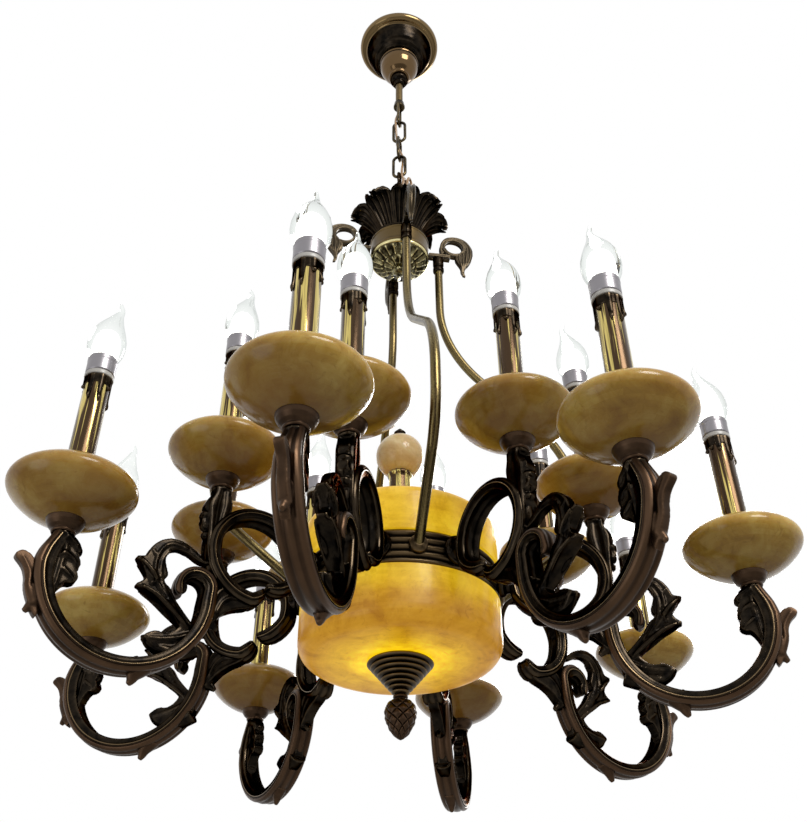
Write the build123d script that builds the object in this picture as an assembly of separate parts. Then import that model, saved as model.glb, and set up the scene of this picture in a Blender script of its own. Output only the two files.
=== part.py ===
from build123d import *
import math
import os

# Sizes in millimetres. The origin is the middle of the ceiling plate's top face, +Z is up,
# and one arm points along +X. Pieces that repeat many times are turned with flat facets.

# Counts
arm_count = 8
tube_count = 4
crown_leaf_count = 8
drum_lamp_count = 3

# Clearances
seat_gap = 0.15
hang_gap = 0.6

# Ceiling plate, rod and canopy
plate_length = 96
plate_width = 22
plate_thickness = 2.5
plate_hole_spacing = 70
plate_hole_radius = 2.6
rod_radius = 5.2
rod_bore_radius = 3
rod_length = 148
rod_nut_height = 6
canopy_radius = 60
canopy_depth = 34
canopy_wall = 1.2
canopy_neck_radius = 41
bell_radius = 29
bell_depth = 38
bell_wall = 1.5
nut_radius = 14
nut_height = 18

# Chain
wire_radius = 2.1
link_count = 3
link_width = 21
link_pitch = 38
loop_width = 17
loop_length = 47
loop_collar_height = 10
eye_width = 13
eye_length = 18

# Hub
spire_length = 139
spire_foot_radius = 9
spire_top_radius = 3.4
hub_stud_radius = 4
hub_radius = 37.5
hub_height = 27
hub_wall = 3
crown_disc_thickness = 4
crown_reach = 61
crown_rise = 46
crown_leaf_wall = 3
rosette_depth = 17
rosette_wall = 2.5
button_radius = 9
button_height = 8

# Side brackets and support tubes
bracket_width = 10
bracket_bar = 6
bracket_below_hub_top = 11
scroll_reach = 70
scroll_rise = 15
scroll_outer_radius = 18
scroll_hole_radius = 11.5
tail_drop = 40
tube_radius = 5
tube_top_radius = 50.5
tube_bulge_radius = 197
tube_straight = 152
tube_shoulder = 141
tube_waist = 105
tube_bends = (150, 110, 80)
tube_foot_radius = 9
tube_foot_length = 8

# Drum
hub_to_band = 448
band_radius = 98
band_height = 36
band_ribs = 5
rib_depth = 3
band_wall = 4
shade_overhang = 0.5
shade_wall = 7
shade_round = 16
upper_shade_height = 50
lower_shade_height = 55
spider_thickness = 3
spider_width = 18
stem_radius = 4
stem_hole_gap = 1
ball_tube_radius = 11
ball_tube_wall = 1.5
ball_tube_height = 71
ball_radius = 26
ball_finial_radius = 8
ball_finial_height = 13
drum_lamp_reach = 46
drum_holder_radius = 10
drum_bulb_base_radius = 7
drum_holder_length = 18
drum_bulb_radius = 15
drum_bulb_length = 34
cone_radius = 32
cone_neck_radius = 8.5
cone_height = 31
cone_rings = 6
cone_ring_depth = 1.6
pinecone_radius = 15
pinecone_height = 36
pinecone_neck_radius = 7
pinecone_neck = 6

# Arm casting
outer_light_radius = 330
inner_light_radius = 198
inner_light_rise = 86
rim_below_band = 0
ribbon_width = 23
leaf_width = 15
thorn_width = 9
thorn_height = 10
flag_width = 12
post_width = 17
neck_width = 17
seat_half = 7
scroll_past_stem = 6
scroll_depth = 15.5
scroll_drop = 43
scroll_swell = 3
scroll_beyond_light = 18
hook_radius = 19
hook_bore = 7.5
hook_rise = 10
ring_radius = 49
ring_depth = 12.5
ring_rise = 10
ring_from_band = 11
arm_boss_radius = 15
arm_screw_radius = 3
arm_screw_reach = 15
arm_screw_head_radius = 5
arm_screw_head_height = 3

# Lights
cup_radius = 16.2
cup_neck_radius = 9.5
cup_height = 14
bowl_radius = 55
bowl_height = 53
bowl_foot_radius = 8
bowl_crown_radius = 15
nipple_radius = 5
flange_radius = 15.5
flange_height = 3
candle_radius = 11.5
candle_wall = 1.2
candle_height = 98
sleeve_radius = 13.8
sleeve_height = 30
holder_radius = 9.8
holder_length = 30
holder_rim_radius = 13
holder_rim_height = 5
bulb_base_radius = 7
bulb_base_length = 22
bulb_collar_radius = 13.7
bulb_collar_height = 19
bulb_radius = 18.3
bulb_height = 78
bulb_tip_lean = 7

# Supply cable
cable_radius = 1.7
cable_bend = 6
cable_entry = 10.5
cable_loop_drop = 38
cable_loop_height = 28
cable_loop_width = 22

# Facets
fine_sides = 24
bowl_sides = 10
cone_sides = 10
small_sides = 8
wire_sides = 6
arc_steps = 10
hub_sides = 16
lamp_sides = 6
bulb_sides = 7

# Heights that follow from the sizes above
rod_bottom = -rod_length
loop_low = rod_bottom - loop_length + wire_radius
link_rise = 2 * wire_radius + hang_gap
eye_top = loop_low - link_count * link_pitch + link_rise
hub_top = eye_top - spire_length
hub_bottom = hub_top - hub_height
band_top = hub_bottom - hub_to_band
band_middle = band_top - band_height / 2
band_bottom = band_top - band_height
rim_height = band_bottom - rim_below_band
shade_radius = band_radius + shade_overhang


def polar(radius, degrees, height, shift=0):
    angle = math.radians(degrees)
    return (shift + radius * math.cos(angle), radius * math.sin(angle), height)


def turned(profile, sides):
    # The profile is a closed loop of (radius, height) points. A third value shifts a ring sideways.
    step = 360 / sides
    faces = []
    for side in range(sides):
        for (r1, *at1), (r2, *at2) in zip(profile, profile[1:] + profile[:1]):
            corners = [polar(r1, side * step, *at1)]
            if r1 > 0:
                corners.append(polar(r1, (side + 1) * step, *at1))
            if r2 > 0:
                corners.append(polar(r2, (side + 1) * step, *at2))
            corners.append(polar(r2, side * step, *at2))
            if len(corners) > 2:
                faces.append(Face(Wire.make_polygon(corners)))
    return Solid(Shell(faces))


def clear(radius, sides):
    # The corner radius of a flat-sided hole that clears a round piece of the given radius.
    return (radius + seat_gap) / math.cos(math.pi / sides)


def ring(radius, bore, low, high, sides):
    return turned([(radius, low), (radius, high), (bore, high), (bore, low)], sides)


def rod(radius, low, high, sides):
    return turned([(0, low), (radius, low), (radius, high), (0, high)], sides)


def arc_points(centre, radius, start, end, steps=arc_steps):
    angles = [math.radians(start + (end - start) * i / steps) for i in range(steps + 1)]
    return [(centre[0] + radius * math.cos(a), centre[1] + radius * math.sin(a)) for a in angles]


def plate(outline, width, lift=0):
    # A flat piece of the given width in the upright plane through +X.
    raised = [(x, z + lift) for x, z in outline]
    return extrude(Plane.XZ * make_face(Polyline(*raised, close=True)), width / 2, both=True)


def bar(path, radius, sides, closed=False):
    # A round bar with mitred bends along a path in the upright plane through +X.
    rings = []
    for i, (x, z) in enumerate(path):
        before = path[i - 1] if closed or i > 0 else None
        after = path[(i + 1) % len(path)] if closed or i < len(path) - 1 else None
        normals = []
        for a, b in ((before, (x, z)), ((x, z), after)):
            if a and b:
                normals.append(((a[1] - b[1]) / math.dist(a, b), (b[0] - a[0]) / math.dist(a, b)))
        nx = sum(n[0] for n in normals) / len(normals)
        nz = sum(n[1] for n in normals) / len(normals)
        size = nx * nx + nz * nz
        turns = [2 * math.pi * (side + 0.5) / sides for side in range(sides)]
        rings.append([(x + radius * math.cos(t) * nx / size, radius * math.sin(t),
                       z + radius * math.cos(t) * nz / size) for t in turns])
    pairs = list(zip(rings, rings[1:]))
    faces = [Face(Wire.make_polygon(end)) for end in (rings[0], rings[-1]) if not closed]
    if closed:
        pairs.append((rings[-1], rings[0]))
    for low, high in pairs:
        for side in range(sides):
            other = (side + 1) % sides
            faces.append(Face(Wire.make_polygon([low[side], low[other], high[other], high[side]])))
    return Solid(Shell(faces))


def stadium(width, length, top, steps=5):
    # The centre line of a closed loop of wire that hangs from the given height.
    radius = width / 2
    upper = arc_points((0, top - radius), radius, 0, 180, steps)
    lower = arc_points((0, top - length + radius), radius, 180, 360, steps)
    return upper + lower


def around(shape, count, first=0):
    return [Rot(0, 0, first + 360 * i / count) * shape for i in range(count)]


def save(name, shape):
    parts = shape if isinstance(shape, (list, ShapeList)) else [shape]
    solids = [solid for part in parts for solid in part.solids()]
    body = solids[0] if len(solids) == 1 else Compound(children=solids)
    body.label = name
    export_step(body, f"parts/{name}.step")


# Ceiling plate, rod and canopy


def ceiling_bracket():
    strap = Pos(0, 0, -plate_thickness / 2) * Box(plate_length, plate_width, plate_thickness)
    for side in (-1, 1):
        strap -= Pos(side * plate_hole_spacing / 2, 0, 0) * Cylinder(plate_hole_radius, 3 * plate_thickness)
    return strap - rod(rod_radius + seat_gap, -2 * plate_thickness, 1, small_sides)


def hanger_rod():
    return ring(rod_radius, rod_bore_radius, rod_bottom, -0.2 * plate_thickness, small_sides)


def rod_nut():
    high = -plate_thickness - seat_gap
    return ring(1.8 * rod_radius, clear(rod_radius, wire_sides), high - rod_nut_height, high, wire_sides)


def rod_loop():
    # A cup on the rod's end, open in the middle for the cable, that carries a stirrup of wire.
    floor = rod_bottom - seat_gap
    low = floor - 6
    socket = rod_radius + seat_gap
    high = rod_bottom + loop_collar_height
    cup = turned([(rod_bore_radius, low), (rod_radius + 3.2, low), (rod_radius + 3.2, floor), (rod_radius + 2, high),
                  (socket, high), (socket, floor), (rod_bore_radius, floor)], small_sides)
    half = loop_width / 2 - wire_radius
    side = [(half, low + 3)]
    line = side + arc_points((0, loop_low + half), half, 0, -180, 6) + [(-half, low + 3)]
    return cup + bar(line, wire_radius, wire_sides)


def canopy_dish():
    low = -canopy_depth
    hole = rod_radius + 1
    wall = canopy_wall
    neck = canopy_neck_radius
    lip = canopy_radius - neck
    outer = [(canopy_radius, -seat_gap), (canopy_radius, -6), (neck + 0.5 * lip, low + 18), (neck, low + 9)]
    outer += [(neck - 5, low), (hole, low), (hole, low + wall)]
    inner = [(neck - 5 - wall, low + wall), (neck - 1.5 * wall, low + 10), (neck + 0.5 * lip - wall, low + 19.5)]
    inner += [(canopy_radius - 1.5 * wall, -6), (canopy_radius - 1.5 * wall, -seat_gap)]
    return turned(outer + inner, hub_sides)


bell_top = -canopy_depth - seat_gap
bell_bottom = bell_top - bell_depth
nut_seat = bell_bottom - seat_gap


def canopy_bell():
    hole = rod_radius + 1
    rise = bell_depth / math.sin(math.radians(65))
    outer = [(r, bell_top + z * rise) for r, z in arc_points((0, 0), 1, 0, -65, 3)]
    outer = [(r * bell_radius, z) for r, z in outer]
    inner = [(r - bell_wall, z + bell_wall) for r, z in outer[1:]]
    inner[-1] = (hole, bell_bottom + bell_wall)
    profile = outer + [(hole, bell_bottom)] + inner[::-1]
    return turned(profile + [(bell_radius - bell_wall, bell_top)], hub_sides)


def canopy_nut():
    bore = rod_radius + seat_gap
    low = nut_seat - nut_height
    profile = [(nut_radius - 6, low), (nut_radius, low + 7), (nut_radius, nut_seat - 4)]
    profile += [(nut_radius - 4, nut_seat), (bore, nut_seat), (bore, low)]
    return turned(profile, small_sides)


# Chain


def chain_link(index):
    top = loop_low - index * link_pitch + link_rise
    line = stadium(link_width - 2 * wire_radius, link_pitch + link_rise, top)
    link = bar(line, wire_radius, wire_sides, closed=True)
    return Rot(0, 0, 90) * link if index % 2 == 0 else link


# Hub


def hub_spire():
    line = stadium(eye_width - 2 * wire_radius, eye_length, eye_top)
    eye = bar(line, wire_radius, wire_sides, closed=True)
    neck = eye_top - eye_length + wire_radius
    foot = hub_top + crown_disc_thickness + seat_gap
    low = hub_bottom - rosette_depth - button_height / 2
    profile = [(0, neck), (spire_top_radius, neck), (spire_foot_radius * 0.7, foot + 30)]
    profile += [(spire_foot_radius, foot + 12), (spire_foot_radius, foot), (hub_stud_radius, foot)]
    profile += [(hub_stud_radius, low), (0, low)]
    return turned(profile, small_sides) + eye


def crown_leaf():
    base = hub_radius * 0.5
    reach = crown_reach - base
    line = [(0, 0), (0.42, 0.48), (0.66, 0.86), (0.84, 1), (1, 0.88)]
    under = [(base + u * reach, v * crown_rise) for u, v in line]
    over = [(r - crown_leaf_wall * 0.4, z + crown_leaf_wall) for r, z in under]
    sheet = plate(under + over[::-1], 2 * crown_reach, hub_top + crown_disc_thickness - 0.5)
    half = math.tan(math.radians(170 / crown_leaf_count))
    plan = [(0.1, 0.1 * half), (0.75, 0.75 * half), (0.86, 0.62 * half), (0.97, 0.5 * half), (0.93, 0.22 * half)]
    plan = plan + [(1.02, 0)] + [(x, -y) for x, y in plan[::-1]]
    fan = make_face(Polyline(*[(crown_reach * x, crown_reach * y) for x, y in plan], close=True))
    return sheet & (Pos(0, 0, hub_top) * extrude(fan, 2 * crown_rise, dir=(0, 0, 1)))


def hub_crown():
    crown = ring(hub_radius, hub_stud_radius + seat_gap, hub_top, hub_top + crown_disc_thickness, hub_sides)
    for leaf in around(crown_leaf(), crown_leaf_count, 180 / crown_leaf_count):
        crown += leaf
    return crown - Pos(cable_entry, cable_entry, 0) * rod(cable_radius + 0.6, hub_top - 1, hub_top + 6, wire_sides)


def hub_collar():
    high = hub_top - seat_gap
    low = hub_bottom
    inside = hub_radius - hub_wall
    rib = 1.2
    profile = [(hub_radius, low), (hub_radius, low + 5), (hub_radius - rib, low + 6), (hub_radius - rib, high - 6)]
    profile += [(hub_radius, high - 5), (hub_radius, high), (inside, high), (inside, low)]
    return turned(profile, hub_sides)


def hub_rosette():
    high = hub_bottom - seat_gap
    low = hub_bottom - rosette_depth
    bore = hub_stud_radius + seat_gap
    outer = [(hub_radius, high), (hub_radius - 1, high - 3), (hub_radius * 0.72, low + 3), (hub_radius * 0.4, low)]
    inner = [(bore, low), (bore, low + rosette_wall), (hub_radius * 0.38, low + rosette_wall)]
    inner += [(hub_radius * 0.68, low + 3 + rosette_wall), (hub_radius - 1 - rosette_wall, high)]
    return turned(outer + inner, hub_sides)


def rosette_button():
    high = hub_bottom - rosette_depth - seat_gap
    low = high - button_height
    bore = hub_stud_radius + seat_gap
    profile = [(0, low), (button_radius * 0.6, low + 1), (button_radius, low + 4), (button_radius, high)]
    profile += [(bore, high), (bore, high - button_height / 2), (0, high - button_height / 2)]
    return turned(profile, small_sides)


# Side brackets and support tubes

bracket_top = hub_top - bracket_below_hub_top
tube_top = bracket_top - bracket_bar - seat_gap
tube_azimuth = 180 / arm_count


def tube_bracket():
    hub_face = hub_radius + seat_gap
    strap = [(hub_face, bracket_top), (hub_face, bracket_top - bracket_bar)]
    strap += [(scroll_reach, bracket_top - bracket_bar), (scroll_reach, bracket_top)]
    centre = (scroll_reach + 1, bracket_top + scroll_rise)
    outer = scroll_outer_radius
    scroll = arc_points((centre[0] + 4, centre[1] - 2), outer, 215, -45, 9)
    tip = (centre[0] + outer / 2 - 2, centre[1] - outer - tail_drop)
    scroll += [(centre[0] + outer - 3, tip[1] + 28), (tip[0] + 4, tip[1] + 12), (tip[0] + 4, tip[1])]
    scroll += [tip, (tip[0] - 4, tip[1] + 12), (centre[0], centre[1] - outer - 9), (centre[0] - 8, centre[1] - outer)]
    hole = arc_points(centre, scroll_hole_radius, 0, 320, 8)
    return plate(strap, bracket_width) + plate(scroll, bracket_width) - plate(hole, 2 * bracket_width)


def support_tube():
    drop = tube_top - tube_straight
    corners = [(tube_top_radius, tube_top), (tube_top_radius, drop)]
    corners += [(tube_bulge_radius, drop - tube_shoulder), (tube_bulge_radius - 3, drop - tube_shoulder - tube_waist)]
    corners.append((band_radius + tube_foot_length / 2, band_middle))
    line = FilletPolyline(*[(x, z) for x, z in corners], radius=tube_bends)
    points = []
    for edge in line.edges():
        steps = 1 if edge.geom_type == GeomType.LINE else 4
        points += [edge.position_at(i / steps) for i in range(steps)]
    points.append(line @ 1)
    tube = bar([(p.X, p.Y) for p in points], tube_radius, wire_sides)
    foot = rod(tube_foot_radius, band_radius - 2, band_radius + tube_foot_length, small_sides)
    foot = Pos(0, 0, band_middle) * Rot(0, 90, 0) * foot
    return tube + foot - Rot(0, 0, 180 / fine_sides) * seat_of_band()


def seat_of_band():
    return rod(band_radius + seat_gap, band_bottom - 5, band_top + 5, fine_sides)


# Drum


def ribbed_band():
    pitch = band_height / band_ribs
    inner = band_radius - rib_depth - band_wall
    profile = []
    for i in range(band_ribs):
        low = band_bottom + i * pitch
        profile += [(band_radius - rib_depth, low), (band_radius, low + 0.5 * pitch)]
    profile += [(band_radius - rib_depth, band_top), (inner, band_top), (inner, band_bottom)]
    band = turned(profile, fine_sides)
    hole = Pos(0, 0, band_middle) * Rot(0, 90, 0) * rod(arm_screw_radius + seat_gap, inner - 5, band_radius + 5, wire_sides)
    for cutter in around(hole, arm_count):
        band -= cutter
    return band


def band_spider():
    reach = (band_radius - rib_depth - band_wall) * math.cos(math.pi / fine_sides)
    length = 2 * (reach - arm_screw_head_height - 2)
    strip = Pos(0, 0, band_middle) * Box(length, spider_width, spider_thickness)
    spider = Rot(0, 0, tube_azimuth) * (strip + Rot(0, 0, 90) * strip)
    return spider - rod(stem_radius + seat_gap, band_bottom, band_top, small_sides)


spider_low = band_middle - spider_thickness / 2
spider_high = band_middle + spider_thickness / 2
lower_low = band_bottom - lower_shade_height
upper_high = band_top + upper_shade_height
ball_seat = upper_high + ball_tube_height
ball_middle = ball_seat + ball_radius * 0.95
cone_low = lower_low - cone_height


def centre_stem():
    low = cone_low + cone_height / 2
    stem = rod(stem_radius, low, ball_middle + ball_radius * 0.95 + 4, small_sides)
    stem += ring(2.4 * stem_radius, stem_radius - 1, spider_high + seat_gap, spider_high + 5, wire_sides)
    return stem + ring(2.4 * stem_radius, stem_radius - 1, spider_low - 5, spider_low - seat_gap, wire_sides)


def shade(height, edge):
    # A drum of stone that stands on its open end and is closed above, apart from the stem's hole.
    inside = shade_radius - shade_wall
    hole = stem_radius + stem_hole_gap
    far = height - shade_wall
    corner = arc_points((shade_radius - edge, height - edge), edge, 0, 90, 3)
    inner = [(hole, far), (inside - edge * 0.6, far), (inside, far - edge * 0.6), (inside, 0)]
    return turned([(shade_radius, 0)] + corner + [(hole, height)] + inner, fine_sides)


def upper_shade():
    return Pos(0, 0, band_top + seat_gap) * shade(upper_shade_height - seat_gap, shade_round * 0.6)


def lower_shade():
    return Pos(0, 0, band_bottom - seat_gap) * Rot(180, 0, 0) * shade(lower_shade_height - seat_gap, shade_round)


def ball_tube():
    low = upper_high + seat_gap
    bore = ball_tube_radius - ball_tube_wall
    return turned([(ball_tube_radius + 5, low), (ball_tube_radius + 5, low + 3), (ball_tube_radius, low + 7),
                   (ball_tube_radius, ball_seat - 4), (ball_tube_radius + 3, ball_seat), (bore, ball_seat),
                   (bore, low)], 12)


def marble_ball():
    hole = stem_radius + seat_gap
    low = ball_seat + seat_gap
    centre = low + ball_radius * 0.9
    start = math.degrees(math.asin(0.9))
    curve = arc_points((0, centre), ball_radius, -start, start, 6)
    return turned([(hole, curve[0][1])] + curve + [(hole, curve[-1][1])], 12)


def ball_finial():
    low = ball_seat + 2 * seat_gap + 1.8 * ball_radius
    wide = ball_finial_radius
    high = low + ball_finial_height
    socket = low + 0.7 * ball_finial_height
    bore = stem_radius + seat_gap
    return turned([(wide, low), (wide, low + 3), (wide * 0.6, low + 5), (wide * 0.8, low + 8), (wide * 0.5, high - 1),
                   (0, high), (0, socket), (bore, socket), (bore, low)], small_sides)


def drum_lampholder():
    foot = spider_low - seat_gap
    holder = ring(drum_holder_radius, drum_bulb_base_radius + seat_gap, foot - drum_holder_length, foot - 3, small_sides)
    return Pos(drum_lamp_reach, 0, 0) * (holder + rod(drum_holder_radius, foot - 3, foot, small_sides))


def drum_bulb():
    rim = spider_low - seat_gap - drum_holder_length
    wide = drum_bulb_radius
    base = drum_bulb_base_radius
    low = rim - drum_bulb_length
    return Pos(drum_lamp_reach, 0, 0) * turned([(0, low), (wide * 0.7, low + 3), (wide, low + 0.4 * drum_bulb_length),
                                               (base + 2, rim - seat_gap - 1), (base, rim - seat_gap),
                                               (base, rim + drum_holder_length - 4), (0, rim + drum_holder_length - 4)], small_sides)


def bottom_cone():
    high = lower_low - seat_gap
    pitch = (cone_height - seat_gap) / cone_rings
    profile = []
    for i in range(cone_rings):
        radius = cone_radius + (cone_neck_radius - cone_radius) * i / (cone_rings - 1)
        profile += [(radius, high - i * pitch), (radius - cone_ring_depth, high - (i + 0.8) * pitch)]
    hole = clear(stem_radius, cone_sides)
    profile = profile + [(cone_neck_radius - cone_ring_depth, cone_low), (hole, cone_low), (hole, high)]
    return turned(profile[::-1], cone_sides)


def pinecone_finial():
    high = cone_low - seat_gap - pinecone_neck
    neck = pinecone_neck_radius
    wide = pinecone_radius
    tiers = 5
    profile = [(0, high + pinecone_neck), (neck * 0.8, high + pinecone_neck), (neck, high + 2), (neck, high)]
    for i in range(tiers):
        share = (i + 0.7) / tiers
        radius = wide * (1 - ((share - 0.35) / 0.75) ** 2)
        profile += [(radius, high - pinecone_height * (i + 0.55) / tiers)]
        profile += [(radius * 0.86, high - pinecone_height * (i + 0.95) / tiers)]
    profile.append((0, high - pinecone_height))
    return turned(profile[::-1], 10)


# Arm casting


# Every outline is given as distance from the axis and height above the outer cup's rim. Leaves and
# posts are given in shares of the scroll's or the ring's radius from its centre.
scroll_radius = (outer_light_radius + scroll_beyond_light - inner_light_radius + scroll_past_stem) / 2
scroll_centre = (outer_light_radius + scroll_beyond_light - scroll_radius, -scroll_drop)
ring_centre = (band_radius + ring_from_band + ring_radius, ring_rise)


def leaf_plate(points, width):
    return plate(points, width, rim_height)


def of_scroll(*shares):
    return [(scroll_centre[0] + scroll_radius * x, scroll_centre[1] + scroll_radius * z) for x, z in shares]


def of_ring(*shares):
    return [(ring_centre[0] + ring_radius * x, ring_centre[1] + ring_radius * z) for x, z in shares]


def arm_scroll():
    # The large open scroll, from the outer light's stem round to the hook at its inner end.
    seat = -cup_height - seat_gap
    middle = (scroll_centre[0] - scroll_swell / 3, scroll_centre[1] - scroll_swell)
    hook_centre = (scroll_centre[0] - scroll_radius + hook_radius, scroll_centre[1] + hook_rise)
    bore_centre = (hook_centre[0] + scroll_swell, hook_centre[1] - scroll_swell)
    line = [(outer_light_radius + seat_half, seat)] + arc_points(scroll_centre, scroll_radius, 0, -180, 10)
    line += arc_points(hook_centre, hook_radius, 180, 0, 4)
    line.append((hook_centre[0] + 0.8 * hook_radius, hook_centre[1] - hook_rise / 2))
    line += arc_points(bore_centre, hook_bore, 0, 180, 3)
    line += arc_points(middle, scroll_radius - scroll_depth, -180, 0, 8)
    return leaf_plate(line + [(outer_light_radius - seat_half, seat)], ribbon_width)


def arm_ring():
    # The smaller ring, whose two ends curl past each other below: one to the drum, one away from it.
    bore = ring_radius - ring_depth
    tip = [(-0.16, -0.69)] + [(math.cos(a) * r, math.sin(a) * r) for a, r in ((3.49, 0.97), (3.75, 0.9), (4.01, 0.79))]
    back = [(math.cos(a) * r, math.sin(a) * r) for a, r in ((4.24, 0.57), (4.01, 0.62), (3.75, 0.7))]
    line = of_ring(tip[0]) + arc_points(ring_centre, ring_radius, -95, 190, 9) + of_ring(*tip[1:], *back)
    return leaf_plate(line + arc_points(ring_centre, bore, 200, -80, 8), ribbon_width)


def arm_post():
    seat = inner_light_rise - cup_height - seat_gap
    foot = of_ring((1.06, 0.82), (1.02, 0.31), (0.98, -0.04), (0.78, -0.12), (0.71, 0.33), (0.65, 0.69))
    top = [(inner_light_radius - seat_half - 1, seat), (inner_light_radius + seat_half + 1, seat)]
    return leaf_plate(top + foot, post_width)


def arm():
    casting = arm_scroll() + arm_ring() + arm_post()
    neck = of_ring((0.08, -0.98), (0.65, -0.73)) + of_scroll((-0.95, -0.09), (-0.9, -0.42), (-1.06, -0.24))
    casting += leaf_plate(neck + of_ring((0.33, -1.16)), neck_width)
    leaf = of_scroll((-0.82, -0.4), (-0.56, -0.69), (-0.33, -0.63), (-0.49, -0.29), (-0.13, 0.01), (-0.18, 0.17),
                     (-0.08, 0.32), (-0.26, 0.54), (-0.47, 0.64), (-0.83, 0.44), (-0.63, 0.47), (-0.41, 0.49),
                     (-0.33, 0.22), (-0.69, -0.28))
    casting += leaf_plate(leaf, leaf_width)
    flag = of_scroll((0.9, -0.54), (1.04, -0.29), (1.06, -0.13), (1.18, 0), (1.12, 0.06), (1.01, -0.04), (0.95, -0.18))
    casting += leaf_plate(flag, flag_width)
    for tip, start, end in ((-30, -17, -29), (-100, -86, -98), (-165, -153, -164)):
        thorn = [(scroll_radius - 8, start), (scroll_radius - 1, start), (scroll_radius + thorn_height, tip)]
        thorn.append((scroll_radius - 8, end))
        outline = [arc_points(scroll_centre, r, angle, angle, 1)[0] for r, angle in thorn]
        casting += leaf_plate(outline, thorn_width)
    middle = band_middle - rim_height
    boss_end = band_radius + ring_from_band + 0.75 * ring_depth
    boss = Pos(0, 0, band_middle) * Rot(0, 90, 0) * rod(arm_boss_radius, band_radius - 3, boss_end, lamp_sides)
    throat = arc_points(ring_centre, ring_radius - ring_depth, 150, 210, 2)
    throat += [(ring_centre[0], middle - 1.4 * arm_boss_radius), (ring_centre[0], middle + 1.4 * arm_boss_radius)]
    casting += boss - leaf_plate(throat, 2 * ribbon_width)
    hole = rod(arm_screw_radius + seat_gap, band_radius / 2, band_radius + arm_screw_reach + 1, wire_sides)
    return casting - seat_of_band() - Pos(0, 0, band_middle) * Rot(0, 90, 0) * hole


def arm_screw():
    head = (band_radius - rib_depth - band_wall) * math.cos(math.pi / fine_sides) - seat_gap
    head = head - arm_screw_head_radius ** 2 / (2 * band_radius)
    screw = rod(arm_screw_radius, head - 1, band_radius + arm_screw_reach, wire_sides)
    screw += rod(arm_screw_head_radius, head - arm_screw_head_height, head, wire_sides)
    return Pos(0, 0, band_middle) * Rot(0, 90, 0) * screw


# Lights. Every piece is made on its own axis with the cup's rim at zero.


def light_cup():
    bore = nipple_radius + seat_gap
    rim = cup_radius
    profile = [(cup_neck_radius, -cup_height), (rim - 2, -cup_height / 2), (rim, 0), (rim - 3, -3)]
    return turned(profile + [(bore, -3), (bore, -cup_height)], lamp_sides)


bowl_low = -3 + seat_gap
bowl_high = bowl_low + bowl_height


def bowl():
    bore = clear(nipple_radius, bowl_sides)
    outer = [(bore, bowl_low), (bowl_foot_radius, bowl_low), (bowl_radius * 0.76, bowl_low + 15)]
    outer += [(bowl_radius, bowl_low + 29), (bowl_radius * 0.76, bowl_low + 43)]
    outer += [(bowl_crown_radius, bowl_high), (bore, bowl_high)]
    return turned(outer, bowl_sides)


candle_low = bowl_high + seat_gap
candle_high = candle_low + candle_height
holder_high = candle_high + seat_gap + holder_rim_height


def candle_tube():
    # A straight tube whose lower end spreads into the brass plate that clamps the bowl.
    bore = candle_radius - candle_wall
    plate_high = candle_low + flange_height
    profile = [(flange_radius, candle_low), (candle_radius, plate_high)]
    profile += [(candle_radius, candle_high), (bore, candle_high), (bore, candle_low)]
    return turned(profile, lamp_sides)


def drip_sleeve():
    # A cap of wax drops of several lengths that hugs the upper end of the candle.
    bore = candle_radius + seat_gap
    step = 360 / lamp_sides
    lows = [candle_high - sleeve_height * (0.45, 1, 0.7)[i % 3] for i in range(lamp_sides)]
    faces = []
    for i, low in enumerate(lows):
        other = lows[(i + 1) % lamp_sides]
        start = i * step
        end = start + step
        rims = [[polar(r, start, low), polar(r, end, other), polar(r, end, candle_high), polar(r, start, candle_high)]
                for r in (bore, sleeve_radius)]
        faces += [Face(Wire.make_polygon(corners)) for corners in rims]
        faces.append(Face(Wire.make_polygon([rims[0][2], rims[0][3], rims[1][3], rims[1][2]])))
        faces.append(Face(Wire.make_polygon([rims[0][0], rims[0][1], rims[1][1]])))
        faces.append(Face(Wire.make_polygon([rims[0][0], rims[1][1], rims[1][0]])))
    return Solid(Shell(faces))


def lampholder():
    rim = candle_high + seat_gap
    floor = holder_high - bulb_base_length - 2
    socket = clear(bulb_base_radius, lamp_sides)
    profile = [(0, -cup_height + 1), (nipple_radius, -cup_height + 1), (nipple_radius, floor - 4), (holder_radius, floor - 4)]
    profile += [(holder_radius, rim), (holder_rim_radius, rim), (holder_rim_radius, holder_high)]
    return turned(profile + [(socket, holder_high), (socket, floor), (0, floor)], lamp_sides)


def bulb():
    low = holder_high - bulb_base_length
    seat = holder_high + seat_gap
    collar = seat + bulb_collar_height
    top = collar + bulb_height
    wide = bulb_radius
    lean = bulb_tip_lean
    profile = [(0, low), (bulb_base_radius, low), (bulb_base_radius, seat), (bulb_collar_radius, seat)]
    profile += [(bulb_collar_radius, collar), (wide, collar + 0.28 * bulb_height)]
    profile += [(wide * 0.6, collar + 0.6 * bulb_height), (wide * 0.2, collar + 0.84 * bulb_height, lean * 0.4)]
    return stacked(profile + [(0, top, lean)], bulb_sides)


def stacked(profile, sides):
    # A body of flat-sided rings in which a third value shifts a ring sideways.
    faces = []
    step = 360 / sides
    for low, high in zip(profile, profile[1:]):
        for side in range(sides):
            corners = []
            for ring_at, order in ((low, (side, side + 1)), (high, (side + 1, side))):
                shift = ring_at[2] if len(ring_at) > 2 else 0
                for index in order if ring_at[0] > 0 else (side,):
                    corners.append(polar(ring_at[0], index * step, ring_at[1], shift))
            if len(corners) == 4 and abs(low[1] - high[1]) > 0:
                faces.append(Face(Wire.make_polygon(corners[:3])))
                faces.append(Face(Wire.make_polygon([corners[0], corners[2], corners[3]])))
            else:
                faces.append(Face(Wire.make_polygon(corners)))
    return Solid(Shell(faces))


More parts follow.
